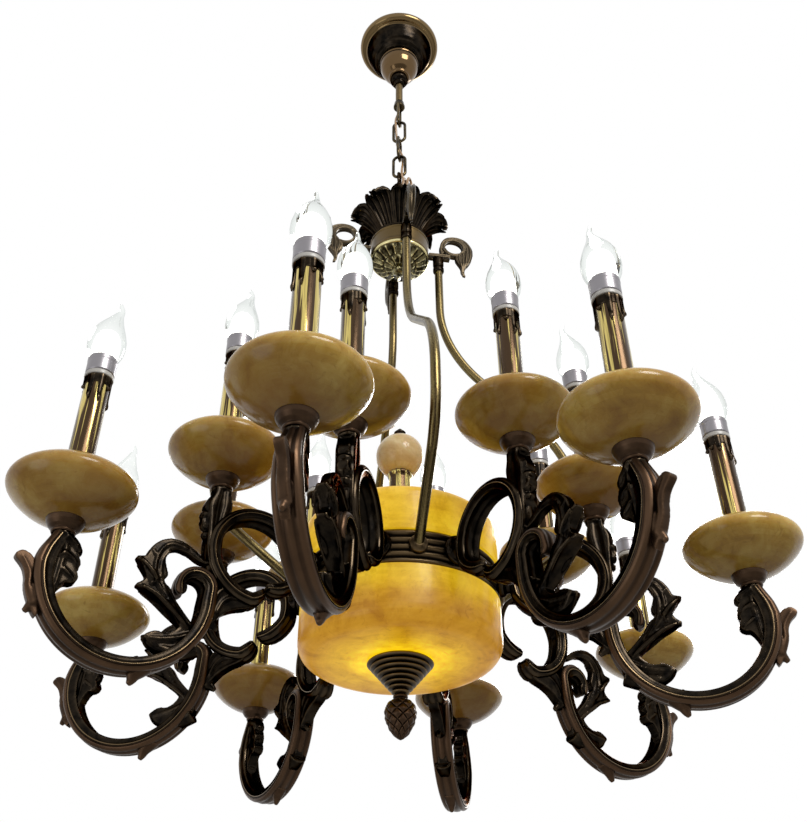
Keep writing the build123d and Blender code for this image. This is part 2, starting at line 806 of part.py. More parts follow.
def at_lights(shape):
    spots = []
    for reach, rise in ((outer_light_radius, 0), (inner_light_radius, inner_light_rise)):
        spots += around(Pos(reach, 0, rim_height + rise) * shape, arm_count)
    return spots


# Supply cable


def cord(line, radius, sides, arc_parts):
    points = []
    for edge in line.edges():
        steps = 1 if edge.geom_type == GeomType.LINE else arc_parts
        points += [edge.position_at(i / steps) for i in range(steps)]
    points.append(line @ 1)
    across = Vector(1, 0, 0)
    rings = []
    for i, point in enumerate(points):
        ahead = points[min(i + 1, len(points) - 1)] - points[max(i - 1, 0)]
        ahead = ahead.normalized()
        across = (across - ahead * across.dot(ahead)).normalized()
        beside = ahead.cross(across)
        turns = [2 * math.pi * side / sides for side in range(sides)]
        rings.append([point + across * (radius * math.cos(t)) + beside * (radius * math.sin(t)) for t in turns])
    faces = [Face(Wire.make_polygon(end)) for end in (rings[0], rings[-1])]
    for low, high in zip(rings, rings[1:]):
        for side in range(sides):
            other = (side + 1) % sides
            faces.append(Face(Wire.make_polygon([low[side], low[other], high[other]])))
            faces.append(Face(Wire.make_polygon([low[side], high[other], high[side]])))
    return Solid(Shell(faces))


def gap_to_itself(line, radius):
    # Points a millimetre apart along the route are compared with those more than half a turn away.
    count = round(line.length)
    points = [line.position_at(i / count) for i in range(count + 1)]
    apart = round(math.pi * cable_bend + 4 * radius)
    return min((p - q).length for i, p in enumerate(points) for q in points[i + apart:]) - 2 * radius


def supply_cable():
    # The cable leaves the rod, changes sides at every link and lies in two loose turns by the spire.
    beside = wire_radius + cable_radius + hang_gap
    corners = [(0, 0, rod_bottom + 2), (0, 0, rod_bottom - 14)]
    for index, (x, y) in enumerate(((1, -1), (-1, -1), (-1, 1), (1, 1))):
        low = loop_low - index * link_pitch
        corners += [(x * beside, y * beside, low + 9), (x * beside, y * beside, low - 4)]
    top = eye_top - cable_loop_drop
    tall = cable_loop_height
    wide = cable_loop_width
    corners += [(6, 9, top + 10), (6, 9, top - tall), (6 + wide, 10.5, top - tall), (6 + wide, 12, top)]
    corners += [(9, 13.5, top), (9, 15.5, top - tall - 6), (9 + wide, 17, top - tall - 6)]
    corners += [(9 + wide, 19, top - 6), (17, 21, top - 6), (17, 21, top - tall - 18)]
    corners += [(cable_entry, cable_entry, hub_top + 18), (cable_entry, cable_entry, hub_top - 12)]
    line = FilletPolyline(*corners, radius=cable_bend)
    print("cable bend radius", cable_bend, "least gap to itself", round(gap_to_itself(line, cable_radius), 2))
    return cord(line, cable_radius, 5, 2)


def all_pieces():
    pieces = {
        "supply_cable": supply_cable(),
        "ceiling_bracket": ceiling_bracket(),
        "hanger_rod": hanger_rod(),
        "rod_nuts": [rod_nut()],
        "rod_loop": rod_loop(),
        "canopy_dish": canopy_dish(),
        "canopy_bell": canopy_bell(),
        "canopy_nut": canopy_nut(),
        "hub_spire": hub_spire(),
        "hub_crown": hub_crown(),
        "hub_collar": hub_collar(),
        "hub_rosette": [hub_rosette(), rosette_button()],
        "tube_brackets": around(tube_bracket(), tube_count, tube_azimuth),
        "support_tubes": around(support_tube(), tube_count, tube_azimuth),
        "ribbed_band": ribbed_band(),
        "band_spider": band_spider(),
        "centre_stem": centre_stem(),
        "upper_shade": upper_shade(),
        "lower_shade": lower_shade(),
        "ball_tube": ball_tube(),
        "marble_ball": marble_ball(),
        "ball_finial": ball_finial(),
        "drum_lampholders": around(drum_lampholder(), drum_lamp_count, tube_azimuth),
        "drum_bulbs": around(drum_bulb(), drum_lamp_count, tube_azimuth),
        "bottom_cone": bottom_cone(),
        "pinecone_finial": pinecone_finial(),
        "arm_screws": around(arm_screw(), arm_count),
        "light_cups": at_lights(light_cup()),
        "bowls": at_lights(bowl()),
        "candle_tubes": at_lights(candle_tube()),
        "drip_sleeves": at_lights(drip_sleeve()),
        "lampholders": at_lights(lampholder()),
    }
    for index in range(link_count):
        pieces[f"chain_link_{index + 1}"] = chain_link(index)
    for index, casting in enumerate(around(arm(), arm_count)):
        pieces[f"arm_{index + 1}"] = casting
    for index, lamp in enumerate(at_lights(bulb())):
        pieces[f"bulb_{index + 1}"] = lamp
    return pieces


os.makedirs("parts", exist_ok=True)
for name, shape in all_pieces().items():
    save(name, shape)
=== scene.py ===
import bpy
import bmesh
import math
import random
from mathutils import Matrix, Vector


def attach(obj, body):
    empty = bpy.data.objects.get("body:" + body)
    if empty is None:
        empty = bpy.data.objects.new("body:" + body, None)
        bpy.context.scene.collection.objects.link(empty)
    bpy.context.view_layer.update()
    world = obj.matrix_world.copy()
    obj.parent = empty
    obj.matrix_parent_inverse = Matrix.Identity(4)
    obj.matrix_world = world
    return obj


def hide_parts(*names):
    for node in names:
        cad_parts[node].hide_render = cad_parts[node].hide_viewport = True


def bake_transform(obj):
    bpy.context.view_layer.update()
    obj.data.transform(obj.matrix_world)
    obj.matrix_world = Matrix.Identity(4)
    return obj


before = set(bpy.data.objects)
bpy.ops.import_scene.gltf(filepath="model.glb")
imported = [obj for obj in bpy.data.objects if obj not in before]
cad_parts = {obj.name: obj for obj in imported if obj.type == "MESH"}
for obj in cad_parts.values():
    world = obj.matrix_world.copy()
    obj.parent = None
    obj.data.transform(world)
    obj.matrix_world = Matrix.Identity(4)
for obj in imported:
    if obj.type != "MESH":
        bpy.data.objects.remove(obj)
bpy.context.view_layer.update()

# Heights and reaches are in millimetres, as a metalworker would mark them, and meshFrom() makes
# metres of them. Those of the arms and lights are counted from the rims of the outer cups.
rimHeight = -952.1
armCount = 8
bracketCount = 4
bracketAngle = 22.5
fullTurn = 2 * math.pi


def addObject(name, data):
    # Every object goes into the scene's own collection.
    made = bpy.data.objects.new(name, data)
    bpy.context.scene.collection.objects.link(made)
    return made


# Camera first.
cameraSettings = {
    "place": (0.8613, 0.1973, -1.3662),
    "heading": 192.635,      # degrees anticlockwise from +X
    "pitch": 36.634,
    "roll": -0.2855,
    "lens": 42.61,
    "sensor": 36,
}


def makeCamera(s):
    heading, pitch, roll = (math.radians(s[k]) for k in ("heading", "pitch", "roll"))
    ahead = Vector((math.cos(heading) * math.cos(pitch), math.sin(heading) * math.cos(pitch), math.sin(pitch)))
    side = Vector((math.sin(heading), -math.cos(heading), 0))
    up = side.cross(ahead)
    sideRolled = side * math.cos(roll) + up * math.sin(roll)
    upRolled = up * math.cos(roll) - side * math.sin(roll)
    turn = Matrix((sideRolled, upRolled, -ahead)).transposed()
    data = bpy.data.cameras.new("photoCamera")
    data.sensor_fit = "VERTICAL"
    data.sensor_height = data.sensor_width = s["sensor"]
    data.lens = s["lens"]
    data.clip_end = 50
    camera = addObject("photoCamera", data)
    camera.matrix_world = Matrix.Translation(s["place"]) @ turn.to_4x4()
    bpy.context.scene.camera = camera


makeCamera(cameraSettings)
print("camera placed")


# Node helpers.
def feed(tree, socket, value):
    # A value, a colour without its alpha or another node's socket goes into a socket.
    if isinstance(value, bpy.types.NodeSocket):
        tree.links.new(value, socket)
    elif isinstance(value, tuple) and len(value) < len(socket.default_value):
        socket.default_value = (*value, 1)
    elif value is not None:
        socket.default_value = value


def node(tree, kind, **settings):
    # Settings that start with in_ go to the socket of that name, the others to the node.
    made = tree.nodes.new(kind)
    for key, value in settings.items():
        if key.startswith("in_"):
            feed(tree, made.inputs[key[3:].replace("_", " ")], value)
        else:
            setattr(made, key, value)
    return made


def newGroup(name, kind, inputs, outputs):
    tree = bpy.data.node_groups.new(name, kind)
    for label, socketKind, value in inputs:
        socket = tree.interface.new_socket(label, in_out="INPUT", socket_type="NodeSocket" + socketKind)
        if value is not None:
            socket.default_value = value
    for label, socketKind in outputs:
        tree.interface.new_socket(label, in_out="OUTPUT", socket_type="NodeSocket" + socketKind)
    return tree, tree.nodes.new("NodeGroupInput").outputs, tree.nodes.new("NodeGroupOutput").inputs


def ramp(tree, source, stops):
    made = node(tree, "ShaderNodeValToRGB", in_Fac=source)
    elements = made.color_ramp.elements
    while len(elements) < len(stops):
        elements.new(0.5)
    for element, (at, colour) in zip(elements, stops):
        element.position = at
        element.color = (*colour, 1)
    return made.outputs["Color"]


def mix(tree, kind, values, **settings):
    # values go to the mix node's sockets by number; the vector result is output 1, the colour result output 2
    made = node(tree, "ShaderNodeMix", data_type=kind, **settings)
    for index, value in values:
        feed(tree, made.inputs[index], value)
    return made.outputs


def mixColour(tree, factor, first, second, blend="MIX"):
    return mix(tree, "RGBA", ((0, factor), (6, first), (7, second)), blend_type=blend)[2]


def calc(tree, operation, first, second=None, clamp=False):
    made = node(tree, "ShaderNodeMath", operation=operation, use_clamp=clamp)
    feed(tree, made.inputs[0], first)
    feed(tree, made.inputs[1], second)
    return made.outputs[0]


def weighted(tree, *pairs):
    # The sum of two sources, each times its weight.
    first, second = (calc(tree, "MULTIPLY", source, weight) for source, weight in pairs)
    return calc(tree, "ADD", first, second)


def fitted(tree, value, low, high, toLow=0.0, toHigh=1.0):
    return node(tree, "ShaderNodeMapRange", in_Value=value, in_From_Min=low, in_From_Max=high,
                in_To_Min=toLow, in_To_Max=toHigh).outputs["Result"]


def coords(tree, kind="Object", stretch=None):
    out = tree.nodes.new("ShaderNodeTexCoord").outputs[kind]
    return node(tree, "ShaderNodeMapping", in_Vector=out,
            in_Scale=stretch).outputs["Vector"] if stretch else out


def noise(tree, scale, detail=4, rough=0.55, distortion=0.0, stretch=None, kind="Object"):
    return node(tree, "ShaderNodeTexNoise", in_Vector=coords(tree, kind, stretch), in_Scale=scale,
            in_Detail=detail, in_Roughness=rough, in_Distortion=distortion).outputs["Fac"]


def wearGroup():
    # Rubbed edges and grimy hollows: a mask from the surface's own curvature, broken up by noise.
    tree, start, end = newGroup("rubbedEdges", "ShaderNodeTree", [("Edge Low", "Float", 0.5),
            ("Edge High", "Float", 0.56), ("Patch Scale", "Float", 60.0)], [("Edge", "Float"),
            ("Hollow", "Float"), ("Patch", "Float")])
    pointiness = tree.nodes.new("ShaderNodeNewGeometry").outputs["Pointiness"]
    patch = noise(tree, start["Patch Scale"], 5.0, 0.6)
    shifted = calc(tree, "ADD", pointiness, calc(tree, "MULTIPLY", calc(tree, "SUBTRACT", patch, 0.5), 0.05))
    feed(tree, end["Edge"], fitted(tree, shifted, start["Edge Low"], start["Edge High"]))
    feed(tree, end["Hollow"], fitted(tree, pointiness, 0.5, 0.44))
    feed(tree, end["Patch"], patch)
    return tree


rubbedEdges = wearGroup()


def newMaterial(name, colour, metallic=0.0, roughness=0.5, **sockets):
    made = bpy.data.materials.new(name)
    made.use_nodes = True
    shader = made.node_tree.nodes["Principled BSDF"].inputs
    for label, value in {"Base Color": colour, "Metallic": metallic, "Roughness": roughness, **sockets}.items():
        feed(made.node_tree, shader[label.replace("_", " ")], value)
    return made, made.node_tree, shader


def bumpInto(tree, shader, height, strength, distance):
    bump = node(tree, "ShaderNodeBump", in_Height=height, in_Strength=strength, in_Distance=distance)
    feed(tree, shader["Normal"], bump.outputs["Normal"])


# Brass. edges is the curvature where a rubbed edge starts and ends. The streaks of the candle and tube finishes
# are painted reflection, upright on standing pieces and along the bend on bent tubes: dark bands of painted
# reflection, with their lightest colour a painted highlight.
brassFinish = {
    "mirror": {"cleanAndHighlight": (0.19, 0.13, 0.06), "dull": (0.11, 0.075, 0.038), "grimeAndDarkReflection": (0.05, 0.03, 0.015),
        "rough": (0.1, 0.2)},
    "bell": {"cleanAndHighlight": (0.14, 0.088, 0.042), "dull": (0.075, 0.047, 0.024), "grimeAndDarkReflection": (0.03, 0.018, 0.01),
        "rough": (0.1, 0.18)},
    "aged": {"cleanAndHighlight": (0.135, 0.092, 0.038), "dull": (0.065, 0.042, 0.018), "grimeAndDarkReflection": (0.015, 0.01, 0.006),
        "rough": (0.26, 0.42)},
    "chain": {"cleanAndHighlight": (0.17, 0.125, 0.058), "dull": (0.018, 0.014, 0.009), "grimeAndDarkReflection": (0.008, 0.006, 0.004),
        "rough": (0.18, 0.32), "edges": (0.53, 0.62), "patch": 120.0},
    # candle and tube: streaks of painted reflection; the bright gold is a painted highlight and the darkest
    # colour a painted dark reflection, besides grime in the hollows
    "candle": {"cleanAndHighlight": (0.7, 0.56, 0.18), "dull": (0.062, 0.038, 0.021), "grimeAndDarkReflection": (0.03, 0.018, 0.01),
        "rough": (0.14, 0.26), "reflectionStreaks": "upright"},
    "tube": {"cleanAndHighlight": (0.2, 0.155, 0.062), "dull": (0.085, 0.06, 0.026), "grimeAndDarkReflection": (0.02, 0.014, 0.008),
        "rough": (0.22, 0.36), "reflectionStreaks": "along"},
    "olive": {"cleanAndHighlight": (0.085, 0.066, 0.04), "dull": (0.042, 0.032, 0.02), "grimeAndDarkReflection": (0.008, 0.006, 0.004),
        "rough": (0.26, 0.4), "edges": (0.505, 0.56), "patch": 60.0},
    "ribbed": {"cleanAndHighlight": (0.13, 0.088, 0.045), "dull": (0.04, 0.027, 0.015), "grimeAndDarkReflection": (0.006, 0.004, 0.003),
        "rough": (0.28, 0.42), "edges": (0.49, 0.53), "patch": 40.0},
    "black": {"cleanAndHighlight": (0.055, 0.04, 0.025), "dull": (0.0062, 0.0054, 0.0048), "grimeAndDarkReflection": (0.003, 0.0027, 0.0024),
        "rough": (0.12, 0.27), "edges": (0.515, 0.57), "patch": 90.0, "tint": (0.3, 0.25, 0.22)},
    "rosette": {"cleanAndHighlight": (0.66, 0.58, 0.3), "dull": (0.011, 0.009, 0.006), "grimeAndDarkReflection": (0.003, 0.003, 0.002),
        "rough": (0.16, 0.3), "edges": (0.515, 0.56), "patch": 140.0},
    "face": {"cleanAndHighlight": (0.082, 0.048, 0.028), "dull": (0.035, 0.021, 0.013), "grimeAndDarkReflection": (0.012, 0.008, 0.006),
        "rough": (0.3, 0.46), "edges": (0.5, 0.56), "patch": 45.0},
    "edge": {"cleanAndHighlight": (0.17, 0.118, 0.062), "dull": (0.05, 0.033, 0.019), "grimeAndDarkReflection": (0.03, 0.02, 0.012),
        "rough": (0.22, 0.36), "patch": 110.0},
}


def between(first, second, share):
    return tuple((1 - share) * a + share * b for a, b in zip(first, second))


def brassMaterial(name):
    finish = brassFinish[name]
    cleanAndHighlight, dull, grimeAndDarkReflection = (finish[k] for k in ("cleanAndHighlight", "dull", "grimeAndDarkReflection"))
    made, tree, shader = newMaterial(name + "Brass", cleanAndHighlight, 1.0)
    low, high = finish.get("edges", (0.5, 0.55))
    wear = node(tree, "ShaderNodeGroup", node_tree=rubbedEdges, in_Edge_Low=low, in_Edge_High=high,
                in_Patch_Scale=finish.get("patch", 55.0)).outputs
    middle = between(dull, cleanAndHighlight, 0.5)
    reflectionStreaks = finish.get("reflectionStreaks")
    fine = noise(tree, 620, 3, 0.6, 0.0, (1, 1, 0.02)) if reflectionStreaks == "upright" else noise(tree, 900, 3, 0.6)
    # painted reflection: dark and bright streaks, from the darkest colour up to the painted highlight
    if reflectionStreaks == "upright":
        broadReflection = noise(tree, 150, 2, 0.5, 0.0, (1, 1, 0.03))
        stops = [(0.36, grimeAndDarkReflection), (0.42, dull), (0.52, dull), (0.555, cleanAndHighlight), (0.62, middle), (0.66, dull)]
    elif reflectionStreaks == "along":
        broadReflection = noise(tree, 1.6, 4.0, 0.6, 0.0, (9, 0.35, 1), "UV")
        stops = [(0.4, grimeAndDarkReflection), (0.45, dull), (0.52, middle), (0.57, cleanAndHighlight), (0.64, dull)]
    if reflectionStreaks:
        colour = ramp(tree, weighted(tree, (broadReflection, 0.72), (fine, 0.28)), stops)
    else:
        cloud = ramp(tree, wear["Patch"], [(0.36, dull), (0.64, between(dull, cleanAndHighlight, 0.35))])
        colour = mixColour(tree, wear["Edge"] if "edges" in finish else 0.72, cloud, cleanAndHighlight)
    colour = mixColour(tree, calc(tree, "MULTIPLY", wear["Hollow"], 0.85, True), colour, grimeAndDarkReflection)
    feed(tree, shader["Base Color"], colour)
    feed(tree, shader["Specular Tint"], finish.get("tint"))
    unevenness = calc(tree, "MULTIPLY", calc(tree, "ADD", fine, wear["Patch"]), 0.5)
    feed(tree, shader["Roughness"], fitted(tree, unevenness, 0.3, 0.7, *finish["rough"]))
    bumpInto(tree, shader, fine, 0.1, 0.0003)
    return made


brass = {name: brassMaterial(name) for name in brassFinish}
print("metals mixed")


# Stone. slips is how many thin slips go round. The bowls' browner colour is the tone of the browner blocks and
# also a painted shade on their undersides.
stoneTints = {
    "bowl": {"body": (0.44, 0.265, 0.045), "deep": (0.235, 0.112, 0.016), "pale": (0.6, 0.43, 0.115),
        "vein": (0.22, 0.1, 0.012), "slips": 9.0, "blockToneAndShade": (0.25, 0.115, 0.022)},
    "ball": {"body": (0.64, 0.46, 0.22), "deep": (0.5, 0.31, 0.12), "pale": (0.76, 0.62, 0.37),
        "vein": (0.5, 0.28, 0.1), "slips": 7.0},
    "drum": {"body": (0.3, 0.19, 0.026), "deep": (0.21, 0.11, 0.01), "pale": (0.36, 0.25, 0.05),
        "vein": (0.2, 0.095, 0.008), "slips": 14.0},
}
# Painted glow for the lamps' light through the drum, put on its stone as emission: by height up its side, and
# by distance from the axis around its bottom.
lowerGlow = {
    "low": -1.007, "high": -0.95, "strength": 1.9,
    "stops": [(0.0, (0.66, 0.46, 0.03)), (0.26, (0.5, 0.29, 0.01)), (0.46, (0.62, 0.42, 0.02)),
        (0.66, (0.9, 0.8, 0.06)), (1.0, (1.0, 0.98, 0.14))],
    "around": [(0.0, (1.9, 1.95, 0.1)), (0.26, (1.5, 1.45, 0.05)), (0.48, (0.95, 0.78, 0.02)),
        (0.78, (0.7, 0.48, 0.02)), (1.0, (0.56, 0.34, 0.01))],
}
upperGlow = {
    "low": -0.916, "high": -0.866, "strength": 2.1,
    "stops": [(0.0, (0.95, 0.9, 0.14)), (0.5, (0.9, 0.82, 0.14)), (1.0, (0.8, 0.72, 0.18))],
}


def glowFade(tree, glow):
    x, y, z = node(tree, "ShaderNodeSeparateXYZ", in_Vector=coords(tree)).outputs
    # cloudy edge to the bands of light
    drift = calc(tree, "MULTIPLY", calc(tree, "SUBTRACT", noise(tree, 16, 4, 0.6, 0.8, (1, 1, 2.2)), 0.5), 0.03)
    fade = ramp(tree, fitted(tree, calc(tree, "ADD", z, drift), glow["low"], glow["high"]), glow["stops"])
    if "around" in glow:
        flat = node(tree, "ShaderNodeCombineXYZ", in_X=x, in_Y=y).outputs["Vector"]
        reach = node(tree, "ShaderNodeVectorMath", operation="LENGTH", in_Vector=flat).outputs["Value"]
        spread = fitted(tree, calc(tree, "ADD", reach, drift), 0.02, 0.1)
        fade = mixColour(tree, fitted(tree, z, -0.994, -1.0055), fade, ramp(tree, spread, glow["around"]))
    return fade


def stoneMaterial(name, tints, roughness, glow=None):
    # Thin slips of cloudy stone laid like small bricks, polished over.
    made, tree, shader = newMaterial(name, tints["body"], 0.0, roughness, Subsurface_Weight=0.25,
            Subsurface_Scale=0.012, Subsurface_Radius=(1.0, 0.55, 0.2), Coat_Weight=0.09, Coat_Roughness=0.08,
            Specular_IOR_Level=0.24)
    cloud = noise(tree, 38, 6, 0.62, 0.6)
    veins = noise(tree, 95, 5, 0.7, 1.4)
    uv = coords(tree, "UV")
    wobble = node(tree, "ShaderNodeTexNoise", in_Vector=coords(tree), in_Scale=45.0,
            in_Detail=3.0).outputs["Color"]
    warped = mix(tree, "VECTOR", ((0, 0.035), (4, uv), (5, wobble)))[1]
    bricks = node(tree, "ShaderNodeTexBrick", in_Vector=warped, in_Scale=tints["slips"], in_Mortar_Size=0.012,
                  in_Mortar_Smooth=0.9, in_Bias=0.0, in_Brick_Width=0.9, in_Row_Height=0.42, offset_frequency=2,
                  in_Color1=(0.46,) * 3, in_Color2=(0.57,) * 3, in_Mortar=(0.44,) * 3).outputs["Color"]
    slips = node(tree, "ShaderNodeRGBToBW", in_Color=bricks).outputs["Val"]
    colour = ramp(tree, weighted(tree, (cloud, 0.55), (slips, 0.5)),
                  [(0.36, tints["deep"]), (0.5, tints["body"]), (0.64, tints["pale"])])
    colour = mixColour(tree, calc(tree, "MULTIPLY", fitted(tree, veins, 0.56, 0.72), 0.5), colour,
            tints["vein"])
    if "blockToneAndShade" in tints:
        # each bowl comes from its own block, some browner; all are also painted browner towards the cup, a
        # painted shade over the underside
        block = fitted(tree, noise(tree, 5.5, 1, 0.5), 0.44, 0.6)
        height = node(tree, "ShaderNodeSeparateXYZ", in_Vector=uv).outputs["Y"]
        # painted shade: the underside darkens from the widest edge in to the cup
        low = fitted(tree, calc(tree, "ADD", height, calc(tree, "MULTIPLY", cloud, 0.25)), 0.55, 0.16)
        colour = mixColour(tree, weighted(tree, (block, 0.5), (low, 0.4)), colour, tints["blockToneAndShade"])
    feed(tree, shader["Base Color"], colour)
    # painted glow: the drum's stone is given the lamps' light as emission
    if glow:
        feed(tree, shader["Emission Color"], mixColour(tree, 1.0, glowFade(tree, glow), colour, "MULTIPLY"))
        feed(tree, shader["Emission Strength"], glow["strength"])
    bumpInto(tree, shader, cloud, 0.04, 0.001)
    return made


polished, honed = 0.2, 0.36
bowlStone = stoneMaterial("bowlStone", stoneTints["bowl"], polished)
ballStone = stoneMaterial("ballStone", stoneTints["ball"], polished)
lowerStone = stoneMaterial("lowerDrumStone", stoneTints["drum"], honed, lowerGlow)
upperStone = stoneMaterial("upperDrumStone", stoneTints["drum"], honed, upperGlow)


def glassAndGlow():
    # blown glass: clear ahead, greenish grey where the eye looks along its wall
    glass, tree, shader = newMaterial("clearGlass", (1, 1, 1), 0, 0.0, Transmission_Weight=1.0, IOR=1.3)
    facing = node(tree, "ShaderNodeLayerWeight", in_Blend=0.35).outputs["Facing"]
    stops = [(0.08, (0.97, 0.985, 0.975)), (0.3, (0.86, 0.9, 0.87)), (0.55, (0.62, 0.67, 0.64)),
            (0.8, (0.26, 0.29, 0.28))]
    feed(tree, shader["Base Color"], ramp(tree, facing, stops))
    # the lamp's glow fades out towards its rim
    glow, tree, shader = newMaterial("glowingLamp", (1, 0.98, 0.94), 0, 0.4, Emission_Strength=1.6,
                                     Emission_Color=(1.0, 0.985, 0.94))
    facing = node(tree, "ShaderNodeLayerWeight", in_Blend=0.4).outputs["Facing"]
    feed(tree, shader["Alpha"], fitted(tree, facing, 0.95, 0.35))
    return glass, glow


def grained(name, colour, metallic, roughness, grain, **sockets):
    # grain is the noise's scale and detail, then the bump's strength and depth
    made, tree, shader = newMaterial(name, colour, metallic, roughness, **sockets)
    bumpInto(tree, shader, noise(tree, grain[0], grain[1]), grain[2], grain[3])
    return made


clearGlass, glowingLamp = glassAndGlow()
spunAluminium = grained("spunAluminium", (0.25, 0.238, 0.252), 1.0, 0.34, (1500, 2, 0.1, 0.0003))
whiteHolder = grained("whiteHolder", (0.42, 0.41, 0.39), 0, 0.32, (700, 2, 0.05, 0.0003))
zincSteel = grained("zincSteel", (0.56, 0.56, 0.57), 1.0, 0.35, (600, 4, 0.15, 0.0003))
cableSheath = grained("cableSheath", (0.3, 0.16, 0.05), 0, 0.3, (400, 2, 0.1, 0.0004), Coat_Weight=0.6)
print("stone, glass and plastics mixed")


# Outlines.
def rounded(points, cut=0.8, closed=False, steps=3):
    # Eases every corner of an outline by the given distance.
    out = []
    count = len(points)
    for i, here in enumerate(points):
        if not closed and i in (0, count - 1):
            out.append(here)
            continue
        before, after = points[i - 1], points[(i + 1) % count]
        first, second = math.dist(before, here), math.dist(after, here)
        a = min(cut, 0.45 * first) / max(first, 1e-6)
        b = min(cut, 0.45 * second) / max(second, 1e-6)
        start = tuple(h + (p - h) * a for h, p in zip(here, before))
        end = tuple(h + (p - h) * b for h, p in zip(here, after))
        for k in range(steps + 1):
            t = k / steps
            out.append(tuple((1 - t) ** 2 * s + 2 * t * (1 - t) * h + t * t * e for s, h, e in zip(start, here,
                    end)))
    return out


def flowing(points, steps=6, closed=False):
    # A smooth line through the given points.
    out = []
    count = len(points)
    for i in range(count if closed else count - 1):
        a, b, c, d = (points[(i + k) % count if closed else min(max(i + k, 0),
                count - 1)] for k in (-1, 0, 1, 2))
        for k in range(steps):
            t = k / steps
            out.append(tuple(0.5 * (2 * q + (r - p) * t + (2 * p - 5 * q + 4 * r - s) * t * t + (3 * q - p
                    - 3 * r + s) * t ** 3) for p, q, r, s in zip(a, b, c, d)))
    if not closed:
        out.append(tuple(points[-1]))
    return out


def runAlong(points):
    run = [0.0]
    for a, b in zip(points, points[1:]):
        run.append(run[-1] + math.dist(a, b))
    return run


def resampled(points, count):
    # The same line with its points evenly spaced.
    run = runAlong(points)
    out, i = [], 0
    for k in range(count):
        at = run[-1] * k / (count - 1)
        while i < len(run) - 2 and run[i + 1] < at:
            i += 1
        t = (at - run[i]) / max(run[i + 1] - run[i], 1e-9)
        out.append(tuple(a + (b - a) * min(1, t) for a, b in zip(points[i], points[i + 1])))
    return out


def arc(centre, radius, start, end, steps=12):
    angles = [math.radians(start + (end - start) * i / steps) for i in range(steps + 1)]
    return [(centre[0] + radius * math.cos(a), centre[1] + radius * math.sin(a)) for a in angles]


def upright(points, y=0):
    # Points of an outline stand up in the plane through +X.
    return [(x, y, z) for x, z in points]


# Meshes.
def sharpEdges(mesh, angle):
    bm = bmesh.new()
    bm.from_mesh(mesh)
    limit = math.radians(angle)
    for edge in bm.edges:
        edge.smooth = not (len(edge.link_faces) == 2 and edge.calc_face_angle(0) > limit)
    bm.to_mesh(mesh)
    bm.free()


def newPiece(name, mesh, materials=(), smooth=True, angle=40):
    made = addObject(name, mesh)
    for entry in materials:
        mesh.materials.append(entry)
    if smooth:
        mesh.shade_smooth()
        sharpEdges(mesh, angle)
    return made


def meshFrom(name, verts, faces, uvs=None):
    mesh = bpy.data.meshes.new(name)
    mesh.from_pydata([(x * 0.001, y * 0.001, z * 0.001) for x, y, z in verts], [], faces)
    if uvs:
        layer = mesh.uv_layers.new(name="UVMap")
        for spot, uv in zip(layer.data, (uv for coords in uvs for uv in coords)):
            spot.uv = uv
    bm = bmesh.new()
    bm.from_mesh(mesh)
    bmesh.ops.recalc_face_normals(bm, faces=bm.faces)
    bm.to_mesh(mesh)
    bm.free()
    return mesh


def ringFaces(low, high, sides):
    # Faces between two rings of points, given by the rings' numbers.
    low, high = low * sides, high * sides
    return [(low + s, low + (s + 1) % sides, high + (s + 1) % sides, high + s) for s in range(sides)]


def endFaces(rings, sides):
    return [tuple(range(sides)), tuple((rings - 1) * sides + s for s in reversed(range(sides)))]


def lathe(name, profile, segments=64, closed=False, reshape=None):
    # profile is (radius, height) from one end of the axis to the other, or a closed loop for a ring.
    verts, rings, faces, uvs = [], [], [], []
    length = runAlong(profile)
    for i, (r, z) in enumerate(profile):
        if r < 1e-6:
            rings.append([len(verts)])
            verts.append((0, 0, z))
            continue
        rings.append(list(range(len(verts), len(verts) + segments)))
        for s in range(segments):
            angle = fullTurn * s / segments
            rr, zz = reshape(angle, r, z) if reshape else (r, z)
            verts.append((rr * math.cos(angle), rr * math.sin(angle), zz))
    pairs = list(zip(range(len(rings)), range(1, len(rings))))
    if closed:
        pairs.append((len(rings) - 1, 0))
    total = max(length[-1], 1)
    for i, j in pairs:
        low, high = rings[i], rings[j]
        if len(low) == len(high) == 1:
            continue
        v1, v2 = length[i] / 100, (length[j] if j else total) / 100
        for s in range(segments):
            t = (s + 1) % segments
            u1, u2 = s / segments, (s + 1) / segments
            if len(low) == 1:
                faces.append((low[0], high[t], high[s]))
                uvs.append(((u1, v1), (u2, v2), (u1, v2)))
            elif len(high) == 1:
                faces.append((low[s], low[t], high[0]))
                uvs.append(((u1, v1), (u2, v1), (u1, v2)))
            else:
                faces.append((low[s], low[t], high[t], high[s]))
                uvs.append(((u1, v1), (u2, v1), (u2, v2), (u1, v2)))
    return meshFrom(name, verts, faces, uvs)


